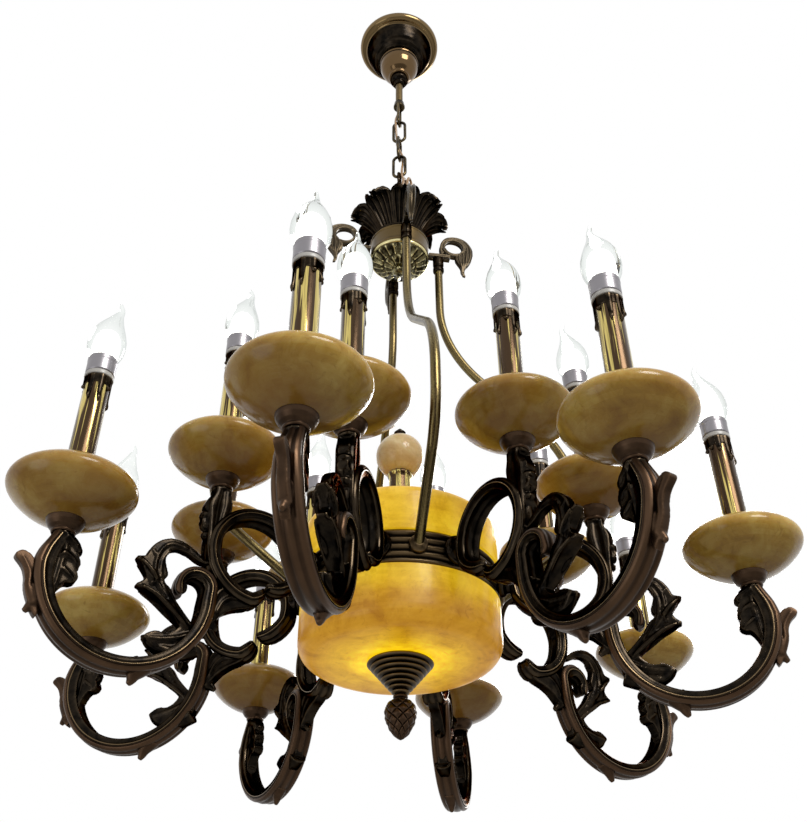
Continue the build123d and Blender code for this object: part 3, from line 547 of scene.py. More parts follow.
def tube(name, path, radius, sides=16, closed=False, flatten=1.0):
    # A round bar along a path of 3-D points. radius may be a list, one for each point.
    points = [Vector(p) for p in path]
    count = len(points)
    radii = radius if isinstance(radius, (list, tuple)) else [radius] * count
    across = Vector((0, 1, 0))
    verts, faces, uvs, run = [], [], [], [0.0]
    for a, b in zip(points, points[1:]):
        run.append(run[-1] + (b - a).length / 100)
    for i, point in enumerate(points):
        before = points[i - 1] if closed or i > 0 else point
        after = points[(i + 1) % count] if closed or i < count - 1 else point
        ahead = (after - before).normalized()
        across = (across - ahead * across.dot(ahead))
        if across.length < 1e-5:
            across = ahead.orthogonal()
        across.normalize()
        beside = ahead.cross(across)
        for s in range(sides):
            a = fullTurn * s / sides
            verts.append(tuple(point + across * (radii[i] * flatten * math.cos(a))
                    + beside * (radii[i] * math.sin(a))))
    for i in range(count if closed else count - 1):
        j = (i + 1) % count
        faces += ringFaces(i, j, sides)
        v1, v2 = run[i], run[j] if j else run[i] + 0.1
        for s in range(sides):
            u1, u2 = s / sides, (s + 1) / sides
            uvs.append(((u1, v1), (u2, v1), (u2, v2), (u1, v2)))
    if not closed:
        faces += endFaces(count, sides)
        uvs += [[(0.5, run[0])] * sides, [(0.5, run[-1])] * sides]
    return meshFrom(name, verts, faces, uvs)


def sweptRibbon(name, outer, inner, section, widths=None, finishes=None):
    # A moulded strap between two edges in the upright plane through +X. section is (across, through) with
    # through from -1 to 1, and finishes gives a material for each side of the section in turn.
    verts, faces = [], []
    for i, ((ox, oz), (ix, iz)) in enumerate(zip(outer, inner)):
        width = widths[i] if widths else 1.0
        for across, through in section:
            t = (through + 1) / 2
            verts.append((ix + (ox - ix) * t, across * width, iz + (oz - iz) * t))
    for i in range(len(outer) - 1):
        faces += ringFaces(i, i + 1, len(section))
    mesh = meshFrom(name, verts, faces + endFaces(len(outer), len(section)))
    if finishes:
        order = list(dict.fromkeys(finishes))
        for entry in order:
            mesh.materials.append(entry)
        for face in mesh.polygons:
            face.material_index = order.index(finishes[face.index % len(section)])
    return mesh


def pad(name, outline, half, dome=0.6):
    # A leaf-like body between two flat sides in the upright plane.
    bm = bmesh.new()
    layers = [[bm.verts.new(p) for p in upright(outline, side * half * dome)] for side in (1, -1)]
    count = len(outline)
    for i in range(count):
        j = (i + 1) % count
        bm.faces.new((layers[0][i], layers[0][j], layers[1][j], layers[1][i]))
    for edge in layers:
        bm.faces.new(edge)
    bmesh.ops.triangulate(bm, faces=[f for f in bm.faces if len(f.verts) > 4])
    bmesh.ops.recalc_face_normals(bm, faces=bm.faces)
    bmesh.ops.scale(bm, vec=(0.001, 0.001, 0.001), verts=bm.verts)
    mesh = bpy.data.meshes.new(name)
    bm.to_mesh(mesh)
    bm.free()
    return mesh


def moved(mesh, matrix):
    copy = mesh.copy()
    copy.transform(matrix)
    return copy


def shift(x=0, y=0, z=0):
    return Matrix.Translation((x / 1000, y / 1000, z / 1000))


def spun(degrees, axis="Z"):
    return Matrix.Rotation(math.radians(degrees), 4, axis)


def joined(name, meshes, materials=(), smooth=True, angle=40):
    # Several meshes become one piece; each keeps its own material slots if it has any.
    bm = bmesh.new()
    slots = []
    for mesh in meshes:
        base = len(bm.faces)
        remap = []
        for entry in mesh.materials:
            if entry not in slots:
                slots.append(entry)
            remap.append(slots.index(entry))
        bm.from_mesh(mesh)
        bm.faces.ensure_lookup_table()
        if remap:
            for face in bm.faces[base:]:
                face.material_index = remap[min(face.material_index, len(remap) - 1)]
    made = bpy.data.meshes.new(name)
    bm.to_mesh(made)
    bm.free()
    return newPiece(name, made, slots or materials, smooth, angle)


def settled(piece):
    # The mesh as its modifiers leave it; the piece itself goes.
    bpy.context.view_layer.update()
    mesh = bpy.data.meshes.new_from_object(piece.evaluated_get(bpy.context.evaluated_depsgraph_get()))
    bpy.data.objects.remove(piece)
    return mesh


def cast(name, meshes, voxel, smoothing, factor=0.5):
    # Fuses overlapping bodies into one skin, as one pour of metal, and eases it.
    piece = joined(name + "Pour", meshes, smooth=False)
    fuse = piece.modifiers.new("fuse", "REMESH")
    fuse.mode = "VOXEL"
    fuse.voxel_size = voxel / 1000
    ease = piece.modifiers.new("ease", "SMOOTH")
    ease.factor = factor
    ease.iterations = smoothing
    mesh = settled(piece)
    mesh.materials.clear()
    return mesh


# Pieces.
def dressNodes(finish, *names):
    for name in names:
        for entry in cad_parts[name].material_slots:
            entry.material = finish


def paintWhere(mesh, material, test):
    # Faces whose middle passes the test take the given material.
    mesh.materials.append(material)
    for face in mesh.polygons:
        if test(*(face.center * 1000)):
            face.material_index = len(mesh.materials) - 1


def finishPiece(piece, body, slotName, *nodes):
    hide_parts(*nodes)
    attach(piece, body)


def turned(name, profile, finish, sides, body, slotName, nodeName, closed=True, angle=40):
    # A piece turned on the axis, in place of one CAD node.
    mesh = lathe(name, profile, sides, closed)
    finishPiece(newPiece(name, mesh, [finish], angle=angle), body, slotName, nodeName)


# Geometry nodes: repeat round the axis.
def ringRepeatTree():
    tree, start, end = newGroup("ringRepeat", "GeometryNodeTree", [("Geometry", "Geometry", None),
            ("Count", "Int", 8), ("Reach", "Float", 0.33), ("Rise", "Float", 0.0),
            ("First Angle", "Float", 0.0), ("Finish", "Material", None)], [("Geometry", "Geometry")])
    share = calc(tree, "DIVIDE", tree.nodes.new("GeometryNodeInputIndex").outputs[0], start["Count"])
    turn = calc(tree, "ADD", calc(tree, "MULTIPLY", share, fullTurn), start["First Angle"])
    place = node(tree, "ShaderNodeCombineXYZ", in_X=calc(tree, "MULTIPLY", calc(tree, "COSINE", turn),
            start["Reach"]), in_Y=calc(tree, "MULTIPLY", calc(tree, "SINE", turn), start["Reach"]),
            in_Z=start["Rise"])
    points = node(tree, "GeometryNodePoints", in_Count=start["Count"])
    placed = node(tree, "GeometryNodeSetPosition", in_Geometry=points.outputs[0], in_Position=place.outputs[0])
    spin = node(tree, "ShaderNodeCombineXYZ", in_Z=turn)
    copies = node(tree, "GeometryNodeInstanceOnPoints", in_Points=placed.outputs[0],
            in_Instance=start["Geometry"], in_Rotation=spin.outputs[0])
    real = node(tree, "GeometryNodeRealizeInstances", in_Geometry=copies.outputs[0])
    paint = node(tree, "GeometryNodeSetMaterial", in_Geometry=real.outputs[0], in_Material=start["Finish"])
    feed(tree, end[0], paint.outputs[0])
    return tree


ringRepeat = ringRepeatTree()


def repeated(name, mesh, finish, rings, angle=40):
    # rings is a list of (count, reach, rise, first angle in degrees), in millimetres.
    names = {item.name: item.identifier for item in ringRepeat.interface.items_tree if item.in_out == "INPUT"}
    meshes = []
    for count, reach, rise, first in rings:
        seed = addObject(name + "Seed", mesh.copy())
        spread = seed.modifiers.new("ringRepeat", "NODES")
        spread.node_group = ringRepeat
        for label, value in (("Count", count), ("Reach", reach / 1000), ("Rise", rise / 1000),
                             ("First Angle", math.radians(first)), ("Finish", finish)):
            spread[names[label]] = value
        copies = settled(seed)
        copies.materials.clear()
        copies.materials.append(finish)
        meshes.append(copies)
    return joined(name, meshes, angle=angle)


outerReach, innerReach, innerRise = 330, 198, 86
lightRings = [(armCount, outerReach, rimHeight, 0), (armCount, innerReach, rimHeight + innerRise, 0)]
print("helpers ready")


# Ceiling mount and canopy.
canopyShape = {
    "dish": [(6.4, -43), (30, -43), (32.4, -42.4), (34.6, -39.6), (37.6, -37.6), (39.4, -34.6), (42.4, -31.6),
        (44.2, -27.6), (46.6, -23), (48.2, -17), (49.4, -12.6), (51.5, -10.6), (55, -10), (58, -8.2),
        (59.7, -5.4), (60, -3), (59.8, -0.2), (58.4, -0.2), (58.4, -4), (50, -8.5), (46, -16), (42, -27),
        (33, -40), (6.4, -41.4)],
    "bell": [(28.8, -43.3), (29.4, -44.4), (29.4, -46), (28.6, -47.4), (28.9, -51), (27.8, -58), (25, -65),
        (20.8, -71.5), (16.6, -76), (15.4, -77.4), (15.6, -79), (14.4, -80.6), (12.5, -81.2), (6.4, -81.2),
        (6.4, -79.6), (10.5, -78.5), (18, -71), (26, -53), (27.4, -43.3)],
    "nut": [(5.5, -81.4), (9, -81.4), (11.5, -82.2), (13.2, -84.6), (13.4, -87.2), (12.2, -89.6), (9.8, -91.6),
        (8.6, -93.6), (9.4, -95), (8.6, -97.4), (7.2, -99.2), (5.5, -99.2)],
}


def buildCanopy(shape):
    for label, material in (("dish", brass["mirror"]), ("bell", brass["bell"]), ("nut", brass["black"])):
        mesh = lathe("canopy" + label.title(), rounded(shape[label], 0.9, closed=True, steps=2), 96,
                closed=True)
        mesh.materials.append(material)
        if label == "dish":
            paintWhere(mesh, brass["black"], lambda x, y, z: math.hypot(x, y) < 49.5 and z < -12)
        piece = newPiece("canopy" + label.title(), mesh, angle=50)
        finishPiece(piece, "canopy", "antique_brass", "canopy_" + label)


hangerShape = {"loopLow": -192.9, "loopWidth": 17.0, "wire": 2.1}


def buildHanger(shape):
    rod = rounded([(3, -0.6), (5.2, -0.6), (5.2, -148), (3, -148)], 0.3, True)
    turned("hangerRod", rod, brass["aged"], 40, "ceiling_mount", "antique_brass", "hanger_rod")
    cup = lathe("loopCup", rounded([(3, -154.1), (7.2, -154.1), (8.3, -152.6), (8.3, -149.5), (7.4, -148.4),
            (7.2, -143.5), (6.6, -141), (5.36, -141), (5.36, -148.1), (3, -148.1)], 0.5, True), 40, closed=True)
    half = shape["loopWidth"] / 2 - shape["wire"]
    path = upright([(half, -151)] + arc((0, shape["loopLow"] + half), half, 0, -180, 18) + [(-half, -151)])
    wire = tube("loopWire", path, shape["wire"], 16)
    finishPiece(joined("rodLoop", [cup, wire], [brass["chain"]]), "ceiling_mount", "antique_brass", "rod_loop")


buildCanopy(canopyShape)
buildHanger(hangerShape)
dressNodes(zincSteel, "ceiling_bracket", "rod_nuts", "arm_screws", "band_spider", "centre_stem")
print("canopy built")


# Chain.
chainShape = {"pitch": 38.0, "rise": 4.8, "width": 21.0, "wire": 2.1}


def linkPath(shape, index):
    radius = shape["width"] / 2 - shape["wire"]
    top = hangerShape["loopLow"] - index * shape["pitch"] + shape["rise"]
    length = shape["pitch"] + shape["rise"]
    return arc((0, top - radius), radius, 0, 180, 16) + arc((0, top - length + radius), radius, 180, 360, 16)


def buildChain(shape):
    for index in range(3):
        mesh = tube("chainLink", upright(linkPath(shape, index)), shape["wire"], 16, closed=True)
        if index % 2 == 0:
            mesh.transform(spun(90))
        name = f"chainLink_{index + 1}"
        finishPiece(newPiece(name, mesh, [brass["chain"]]), f"link_{index + 1}", "antique_brass",
                f"chain_link_{index + 1}")


buildChain(chainShape)

cableShape = {"radius": 1.7, "cuts": (-213.0, -249.0, -287.0, -322.0)}
cableRoute = [(0, 0, -146), (0, 0, -162), (4.4, -4.4, -183.9), (4.4, -4.4, -196.9), (-4.4, -4.4, -221.9),
        (-4.4, -4.4, -234.9), (-4.4, 4.4, -259.9), (-4.4, 4.4, -272.9), (4.4, 4.4, -297.9), (4.4, 4.4, -310.9),
        (6, 9, -330.1), (6, 9, -368.1), (28, 10.5, -368.1), (28, 12, -340.1), (9, 13.5, -340.1),
        (9, 15.5, -374.1), (31, 17, -374.1), (31, 19, -346.1), (17, 21, -346.1), (17, 21, -386.1),
        (10.5, 10.5, -423.1), (10.5, 10.5, -453.1)]


def buildCable(shape, route):
    # One smooth line through the chain, cut where each piece passes to the next body.
    data = bpy.data.curves.new("cableLine", "CURVE")
    data.dimensions = "3D"
    data.resolution_u = 14
    spline = data.splines.new("NURBS")
    spline.points.add(len(route) - 1)
    for point, (x, y, z) in zip(spline.points, route):
        point.co = (x / 1000, y / 1000, z / 1000, 1)
    spline.order_u = 3
    spline.use_endpoint_u = True
    line = [v.co * 1000 for v in settled(addObject("cableLine", data)).vertices]
    cuts = [0]
    for height in shape["cuts"]:
        cuts.append(next(i for i in range(cuts[-1] + 1, len(line)) if line[i].z < height))
    cuts.append(len(line) - 1)
    joints = [hangerShape["loopLow"] - chainShape["pitch"] * i for i in range(4)]
    for i in range(5):
        stretch = [tuple(p) for p in line[cuts[i]:cuts[i + 1] + 1]]
        piece = newPiece(f"supplyCable_{i + 1}", tube("cable", stretch, shape["radius"], 12), [cableSheath])
        if i == 0:
            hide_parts("supply_cable")
        if i < 4:
            z = joints[i] / 1000
            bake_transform(piece)
        else:
            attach(piece, "fixture")


buildCable(cableShape, cableRoute)
print("chain and cable built")


# Hub, crown and rosette.
hubShape = {"top": -441.1, "bottom": -468.1, "leaves": 8}


def buildHub(s):
    top, bottom = s["top"], s["bottom"]
    collar = rounded([(34.5, top - 0.3), (36.6, top - 0.3), (37.5, top - 1.2), (37.5, top - 3.2),
            (36.6, top - 4.2), (36.6, top - 21.6), (37.5, top - 22.8), (37.6, top - 26), (36.8, top - 26.8),
            (34.5, top - 26.8)], 0.6, True)
    turned("hubCollar", collar, brass["aged"], 96, "fixture", "antique_brass", "hub_collar")

    def petals(angle, r, z):
        # two tiers of narrow leaves, each with a ridge down its middle and a scalloped outer end
        if r > 35.5 or r < 8 or z > bottom - 1:
            return r, z
        lobes, first, last = (20, 20.5, 35.5) if r > 20.5 else (12, 8, 20.5)
        phase = angle * lobes / 2 + (math.pi / 2 if r <= 20.5 else 0)
        wave = abs(math.cos(phase))
        share = (r - first) / (last - first)
        edge = min(1.0, 6 * min(share, 1 - share) + 0.15)
        ridge = 2.3 * wave ** 1.4 + 0.9 * math.exp(-((1 - wave) / 0.05) ** 2)
        curl = 1.5 * max(0, share - 0.55) * (1 if r > 20.5 else 1.3)
        return r, z - (ridge * edge + curl) + 2.2

    low = bottom - 17
    dome = [(37.2, bottom - 0.3), (37.3, bottom - 2.6), (36.4, bottom - 3.6), (35.6, bottom - 3.8)]
    dome += [(r, bottom - 3.8 - 8.2 * ((35.5 - r) / 15) ** 0.9)
            for r in (35.4, 35, 34.4, 33.4, 32, 30, 28, 26, 24, 22.6, 21.6, 21, 20.6)]
    dome += [(r, bottom - 10.6 - 5.4 * ((20.5 - r) / 12.5) ** 0.8)
            for r in (20.4, 20, 19.4, 18.4, 17, 15.4, 13.6, 12, 10.6, 9.4, 8.6, 8)]
    dome += [(4.3, bottom - 15.5), (4.3, bottom - 13.4), (14, bottom - 12), (24, bottom - 7), (33, bottom - 1),
            (34.4, bottom - 0.3)]
    shell = lathe("rosetteDome", dome, 240, closed=True, reshape=petals)
    button = lathe("rosetteButton", rounded([(0, low - 9), (4, low - 8.6), (7.4, low - 6.8), (8.8, low - 4.4),
            (8.4, low - 2.2), (6.6, low - 1.2), (6.8, low - 0.1), (4.3, low - 0.1), (4.3, low - 4),
            (0, low - 4)], 0.6), 48, reshape=lambda a, r,
            z: (r * (1 + 0.05 * math.cos(8 * a)) if 3 < r else r, z))
    finishPiece(joined("hubRosette", [shell, button], [brass["rosette"]], angle=60), "fixture",
            "patinated_brass", "hub_rosette")

    leaves = repeated("crownLeaves", crownLeaf(s), brass["black"], [(s["leaves"], 0, 0, bracketAngle)],
            angle=50)
    plate = lathe("crownPlate", rounded([(4.3, top + 0.1), (37, top + 0.1), (38, top + 2), (36, top + 4),
            (24, top + 5.5), (4.3, top + 5.5)], 0.8, True), 72, closed=True)
    inner = lathe("crownCore", flowing([(10, top + 5), (16, top + 6), (19, top + 12), (20, top + 20),
            (18, top + 21), (14, top + 12), (10, top + 7)], 4, True), 64, closed=True)
    merged = joined("hubCrown", [leaves.data, plate, inner], [brass["black"]], angle=50)
    bpy.data.objects.remove(leaves)
    finishPiece(merged, "fixture", "patinated_brass", "hub_crown")

    eye = upright(arc((0, -302.1 - 4.4), 4.4, 0, 180, 14) + arc((0, -320.1 + 4.4), 4.4, 180, 360, 14))
    ring = tube("spireEye", eye, 2.1, 14, closed=True)
    spire = lathe("spireBody", flowing([(0, -317.6), (2.6, -318.4), (3.6, -321), (3.3, -324), (4.2, -326),
            (4.2, -329), (3.3, -331), (3.9, -345), (5.2, -380), (6.6, -405), (7.4, -415), (8.6, -418),
            (9, -421), (8.2, -424), (8.8, -428), (9, -436.8)], 4) + [(4, -436.8), (4, -489), (0, -489)], 40)
    finishPiece(joined("hubSpire", [ring, spire], [brass["black"]]), "fixture", "antique_brass", "hub_spire")


def crownLeaf(s):
    # One fluted acanthus leaf that rises from the hub and rolls out at its scalloped tip.
    spine = flowing([(17, 2), (21, 9), (27, 18), (33, 29), (40, 39), (47, 45), (53, 46), (57.6, 43),
            (59, 37.5)], 4)
    half = flowing([(8.0,), (9.6,), (11.8,), (14.6,), (17.8,), (20.4,), (20.8,), (17.5,), (10.5,)], 4)
    rows, columns = len(spine), 41
    verts, faces = [], []
    for side in (1, -1):
        for i, ((r, z), (w,)) in enumerate(zip(spine, half)):
            before, after = spine[max(i - 1, 0)], spine[min(i + 1, rows - 1)]
            dx, dz = after[0] - before[0], after[1] - before[1]
            size = math.hypot(dx, dz)
            nx, nz = dz / size, -dx / size
            share = i / (rows - 1)
            for j in range(columns):
                u = 2 * j / (columns - 1) - 1
                lobe = abs(math.cos(u * math.pi * 1.5)) ** 0.6
                ruffle = max(0.0, share - 0.45) / 0.55
                flute = 1.9 * math.cos(u * math.pi * 5) * (0.3 + 0.7 * share)
                out = flute + 3.0 * u * u * (1 - 0.6 * share) + side * (1.3
                        - 0.55 * abs(u)) - 3.2 * ruffle * ruffle * lobe
                wave = math.cos(u * math.pi * 6)
                lift = ((1 - abs(u) ** 2.2) * share * 2.0) - 8.0 * ruffle * (1
                        - lobe) - 3.0 * ruffle * u * u + 0.5 * ruffle * wave
                out += 1.0 * ruffle * wave
                spread = 1 - 0.16 * ruffle * (1 - lobe) * (1 if abs(u) > 0.7 else 0)
                verts.append((r + nx * out + dx / size * lift, u * w * spread, z + nz * out + dz / size * lift
                        + s["top"] + 3))
    for i in range(rows - 1):
        for j in range(columns - 1):
            a = i * columns + j
            b = rows * columns + a
            faces.append((a, a + 1, a + columns + 1, a + columns))
            faces.append((b, b + columns, b + columns + 1, b + 1))
    rim = list(range(columns)) + [i * columns + columns - 1 for i in range(1, rows)]
    rim += [(rows - 1) * columns + j for j in range(columns - 2, -1,
            -1)] + [i * columns for i in range(rows - 2, 0, -1)]
    for a, b in zip(rim, rim[1:] + rim[:1]):
        faces.append((a, b, b + rows * columns, a + rows * columns))
    return meshFrom("crownLeaf", verts, faces)


buildHub(hubShape)
print("hub built")


# Brackets and support tubes.
strap = [(-1, 0.8), (-0.92, 1), (-0.7, 1), (-0.55, 0.7), (0.55, 0.7), (0.7, 1), (0.92, 1), (1, 0.8), (1, 0.35),
        (0.9, 0.2), (0.9, -0.2), (1, -0.35), (1, -0.8), (0.92, -1), (0.7, -1), (0.55, -0.75), (-0.55, -0.75),
        (-0.7, -1), (-0.92, -1), (-1, -0.8), (-1, -0.35), (-0.9, -0.2), (-0.9, 0.2), (-1, 0.35)]
bracketShape = {"top": -452.1, "bar": 6.0, "width": 5.0, "voxel": 0.6}
tubeShape = {"corners": [(50.5, -458.3), (50.5, -610.2), (197, -751.2), (194, -856.2), (102, -934.1)],
        "bends": [150, 110, 80], "radius": 5.0}


def strapSection(half):
    return [(x * half, n) for x, n in strap]


def buildBrackets(s):
    top = s["top"]
    meshes = []
    outer = [(37.8, top - 1), (48, top - 0.6), (58, top - 0.4), (66, top - 1)]
    inner = [(x, top - s["bar"]) for x in (37.8, 48, 58, 66)]
    meshes.append(sweptRibbon("bracketBar", outer, inner, strapSection(s["width"])))
    centre = (71.5, top + 15)
    outer = flowing([(54.5, top + 1), (52.8, top + 8), (53, top + 16), (55.6, top + 24), (61, top + 31),
            (70, top + 34), (80, top + 33), (89, top + 28), (95, top + 18), (96.6, top + 8), (95, top - 2),
            (91, top - 11), (86.8, top - 17), (84.6, top - 21.5), (84.2, top - 27), (86, top - 34)], 5)
    inner = flowing([(60.8, top + 6), (60, top + 12), (60.2, top + 18), (63, top + 23.4), (67.4, top + 26),
            (72, top + 26.5), (78, top + 24.6), (82, top + 20), (83, top + 13.6), (81, top + 7.4),
            (77, top + 4.2), (73.4, top - 1), (73.6, top - 7), (77, top - 13.4), (79.4, top - 19.6),
            (79.8, top - 26), (82, top - 33)], 5)
    outer, inner = resampled(outer, 70), resampled(inner, 70)
    widths = [0.85 + 0.15 * math.sin(math.pi * i / 69) - 0.45 * max(0, (i - 55) / 14) for i in range(70)]
    meshes.append(sweptRibbon("bracketScroll", outer, inner, strapSection(3.7), widths))
    for share in (0.2, 0.42, 0.64, 0.86):
        for side in (1, -1):
            path = [(a[0] + (b[0] - a[0]) * share, side * (3.7 * w - 0.4), a[1] + (b[1] - a[1]) * share) for a,
                    b, w in list(zip(inner, outer, widths))[14:66]]
            sizes = [0.9 + 0.6 * math.sin(math.pi * i / 51) for i in range(52)]
            meshes.append(tube("bracketRidge", path, sizes, 8))
    meshes.append(sweptRibbon("bracketFoot", arc(centre, 16, 195, 300, 12), arc(centre, 11.2, 195, 300, 12),
            strapSection(4.2)))
    bracket = cast("bracket", meshes, s["voxel"], 1)
    piece = repeated("tubeBrackets", bracket, brass["olive"], [(bracketCount, 0, 0, bracketAngle)], angle=55)
    finishPiece(piece, "fixture", "patinated_brass", "tube_brackets")


def filleted(points, bends, steps=24):
    out = [points[0]]
    for i, bend in enumerate(bends):
        before, here, after = (Vector(points[i + k]) for k in range(3))
        into, away = (before - here).normalized(), (after - here).normalized()
        half = into.angle(away) / 2
        reach = bend / math.tan(half)
        centre = here + (into + away).normalized() * (bend / math.sin(half))
        first, last = here + into * reach - centre, here + away * reach - centre
        sweep = first.angle(last)
        for k in range(steps + 1):
            t = k / steps
            part = (first * math.sin((1 - t) * sweep) + last * math.sin(t * sweep)) / math.sin(sweep)
            out.append(tuple(centre + part))
    out.append(points[-1])
    return out


def buildTubes(s):
    line = [tuple(p) for p in filleted([Vector(p) for p in s["corners"]], s["bends"])]
    dense = []
    for a, b in zip(line, line[1:]):
        pieces = max(1, int(math.dist(a, b) / 20))
        dense += [(a[0] + (b[0] - a[0]) * k / pieces, a[1] + (b[1] - a[1]) * k / pieces) for k in range(pieces)]
    dense.append(line[-1])
    body = tube("supportTube", upright(dense), s["radius"], 24)
    top = s["corners"][0]
    clamp = lathe("tubeClamp", rounded([(5.1, -1), (6.6, -1), (6.9, -3), (6.9, -13), (6.2, -14.5), (6.2, -17),
            (7, -18.5), (7, -23), (6.2, -25), (5.1, -25)], 0.6, True), 32, closed=True)
    clamp.transform(shift(top[0], 0, top[1]))
    foot = lathe("tubeFoot", rounded([(0, 8), (4, 8), (6, 6.6), (8.4, 5.6), (9, 4), (9, 1.2), (9, -1), (0, -1)],
            0.6), 32)
    foot.transform(shift(98, 0, -934.1) @ spun(90, "Y"))
    body.materials.append(brass["tube"])
    clamp.materials.append(brass["black"])
    foot.materials.append(brass["ribbed"])
    meshes = [moved(mesh, spun(bracketAngle + 90 * k)) for k in range(bracketCount)
            for mesh in (body, clamp, foot)]
    finishPiece(joined("supportTubes", meshes), "fixture", "antique_brass", "support_tubes")


buildBrackets(bracketShape)
buildTubes(tubeShape)
print("brackets and tubes built")


# Drum.
drumShape = {"bandTop": -916.1, "bandBottom": -952.1, "radius": 98.0, "ribs": 5, "shade": 98.5, "upper": 50.0,
        "lower": 55.0, "coneRings": 8, "coneHeight": 30.8, "scaleRows": 7}


def buildDrum(s):
    top, bottom, radius = s["bandTop"], s["bandBottom"], s["radius"]
    pitch = (top - bottom) / s["ribs"]
    profile = []
    for i in range(s["ribs"]):
        low = bottom + i * pitch
        profile += [(radius - 2.8, low + 0.05 * pitch)] + [(radius - 2.8 + 2.8 * math.sin(math.pi * t), low
                + pitch * (0.08 + 0.84 * t)) for t in (0.12, 0.25, 0.38, 0.5, 0.62, 0.75, 0.88)]
    profile += [(radius - 2.8, top), (radius - 7, top), (radius - 7, bottom), (radius - 2.8, bottom)]
    turned("ribbedBand", profile, brass["ribbed"], 160, "fixture", "antique_brass", "ribbed_band", angle=60)

    inside = s["shade"] - 7
    upper = [(s["shade"], top + 0.15), (s["shade"], top + s["upper"] - 12)]
    upper += arc((s["shade"] - 11, top + s["upper"] - 11), 11, 0, 90, 8)[1:] + [(5, top + s["upper"]),
            (5, top + s["upper"] - 7)]
    upper += [(inside - 6, top + s["upper"] - 7), (inside, top + s["upper"] - 13), (inside, top + 0.15)]
    turned("upperShade", upper, upperStone, 128, "fixture", "lit_stone", "upper_shade")
    lower = [(s["shade"], bottom - 0.15), (s["shade"], bottom - s["lower"] + 17)]
    lower += arc((s["shade"] - 16.5, bottom - s["lower"] + 16.5), 16.5, 0, -90,
            10)[1:] + [(5, bottom - s["lower"]), (5, bottom - s["lower"] + 7)]
    lower += [(inside - 10, bottom - s["lower"] + 7), (inside, bottom - s["lower"] + 17),
            (inside, bottom - 0.15)]
    turned("lowerShade", lower, lowerStone, 128, "fixture", "lit_stone", "lower_shade")

    seat = top + s["upper"]
    column = [(9.5, seat + 0.2), (12.2, seat + 0.2), (12.6, seat + 1.6), (12.2, seat + 3), (11.8, seat + 4),
            (11.8, seat + 64), (12.4, seat + 66), (13.4, seat + 68), (13.6, seat + 69.6), (13, seat + 70.9),
            (9.5, seat + 70.9)]
    turned("ballTube", rounded(column, 0.6, True), brass["candle"], 64, "fixture", "antique_brass", "ball_tube")
    ballLow = seat + 71.15
    curve = arc((0, ballLow + 23.4), 26, -64.2, 64.2, 28)
    ball = [(4.2, curve[0][1])] + curve + [(4.2, curve[-1][1])]
    turned("marbleBall", ball, ballStone, 80, "fixture", "honey_stone", "marble_ball")
    low = ballLow + 46.95
    beads = [(4.3, low), (7.6, low), (8, low + 1.4), (7.4, low + 3), (5.2, low + 4), (5, low + 5),
            (6.4, low + 6.4), (6.6, low + 8), (5, low + 9.6), (2.8, low + 10.2), (3.2, low + 11.4),
            (2, low + 12.8), (0, low + 13), (0, low + 9), (4.3, low + 9)]
    turned("ballFinial", rounded(beads, 0.3), brass["black"], 48, "fixture", "antique_brass", "ball_finial",
            False)

    high = bottom - s["lower"] - 0.15
    rings, count, height = [], s["coneRings"], s["coneHeight"]
    for i in range(count):
        r = 32 - 23.2 * i / (count - 1)
        z = high - height * i / count
        rings += [(r - 1.6, z)] + [(r - 1.6 + 1.6 * math.sin(math.pi * t), z - height / count * (0.06
                + 0.86 * t)) for t in (0.15, 0.35, 0.5, 0.65, 0.85)]
    rings += [(7, high - height), (4.2, high - height), (4.2, high)]
    turned("bottomCone", rings, brass["ribbed"], 96, "fixture", "antique_brass", "bottom_cone", angle=60)
    buildPinecone(high - height - 0.3, s["scaleRows"])


def buildPinecone(top, rows):
    # An egg of overlapping scales between two families of spiral grooves, under a turned neck.
    neck = [(0, top), (5.6, top), (7, top - 1.4), (7, top - 2.8), (5.4, top - 4.2), (6.2, top - 5.4),
            (8.6, top - 6.2)]
    egg = flowing([(8.6, top - 6.2), (11.2, top - 8.4), (13.4, top - 13), (13.9, top - 18.5), (12.6, top - 25),
            (9.4, top - 32), (5.4, top - 38), (2.2, top - 41), (0, top - 41.8)], 14)

    def scaled(angle, r, z):
        if z > top - 6.5 or r < 1:
            return r, z
        depth = (top - 6.5 - z) / 35.3
        turn = depth * math.pi * rows
        first, second = (rows + 1) * angle / 2 + turn / 2, (rows + 1) * angle / 2 - turn / 2
        ridge = min(abs(math.sin(first)), abs(math.sin(second)))
        lip = 0.5 + 0.5 * math.cos(turn + math.pi * (1 if math.sin(first) * math.sin(second) > 0 else 0))
        fade = min(1, r / 7)
        return r - 0.9 + fade * (1.5 * min(1, ridge * 3.2) ** 0.7 + 0.8 * (1 - lip) * ridge), z

    cone = lathe("pineconeBody", rounded(neck, 0.4) + egg[1:], 192, reshape=scaled)
    finishPiece(newPiece("pineconeFinial", cone, [brass["face"]], angle=60), "finial", "patinated_brass",
            "pinecone_finial")


buildDrum(drumShape)
dressNodes(whiteHolder, "drum_lampholders")
dressNodes(glowingLamp, "drum_bulbs")
print("drum built")


# Arm casting.
# Reach from the axis and height above the outer cup's rim, as measured along one arm.
armShape = {
    "voxel": 1.15,
    "scroll": {"outerCentre": (270, -43), "outerRadius": 78, "innerCentre": (269, -46), "innerRadius": 62.5,
        "half": 11.5},
    "ring": {"centre": (158, 10), "outer": 49.0, "inner": 36.5, "half": 11.5},
    "boss": {"radius": 15.0, "from": 98.4, "to": 114.0},
}


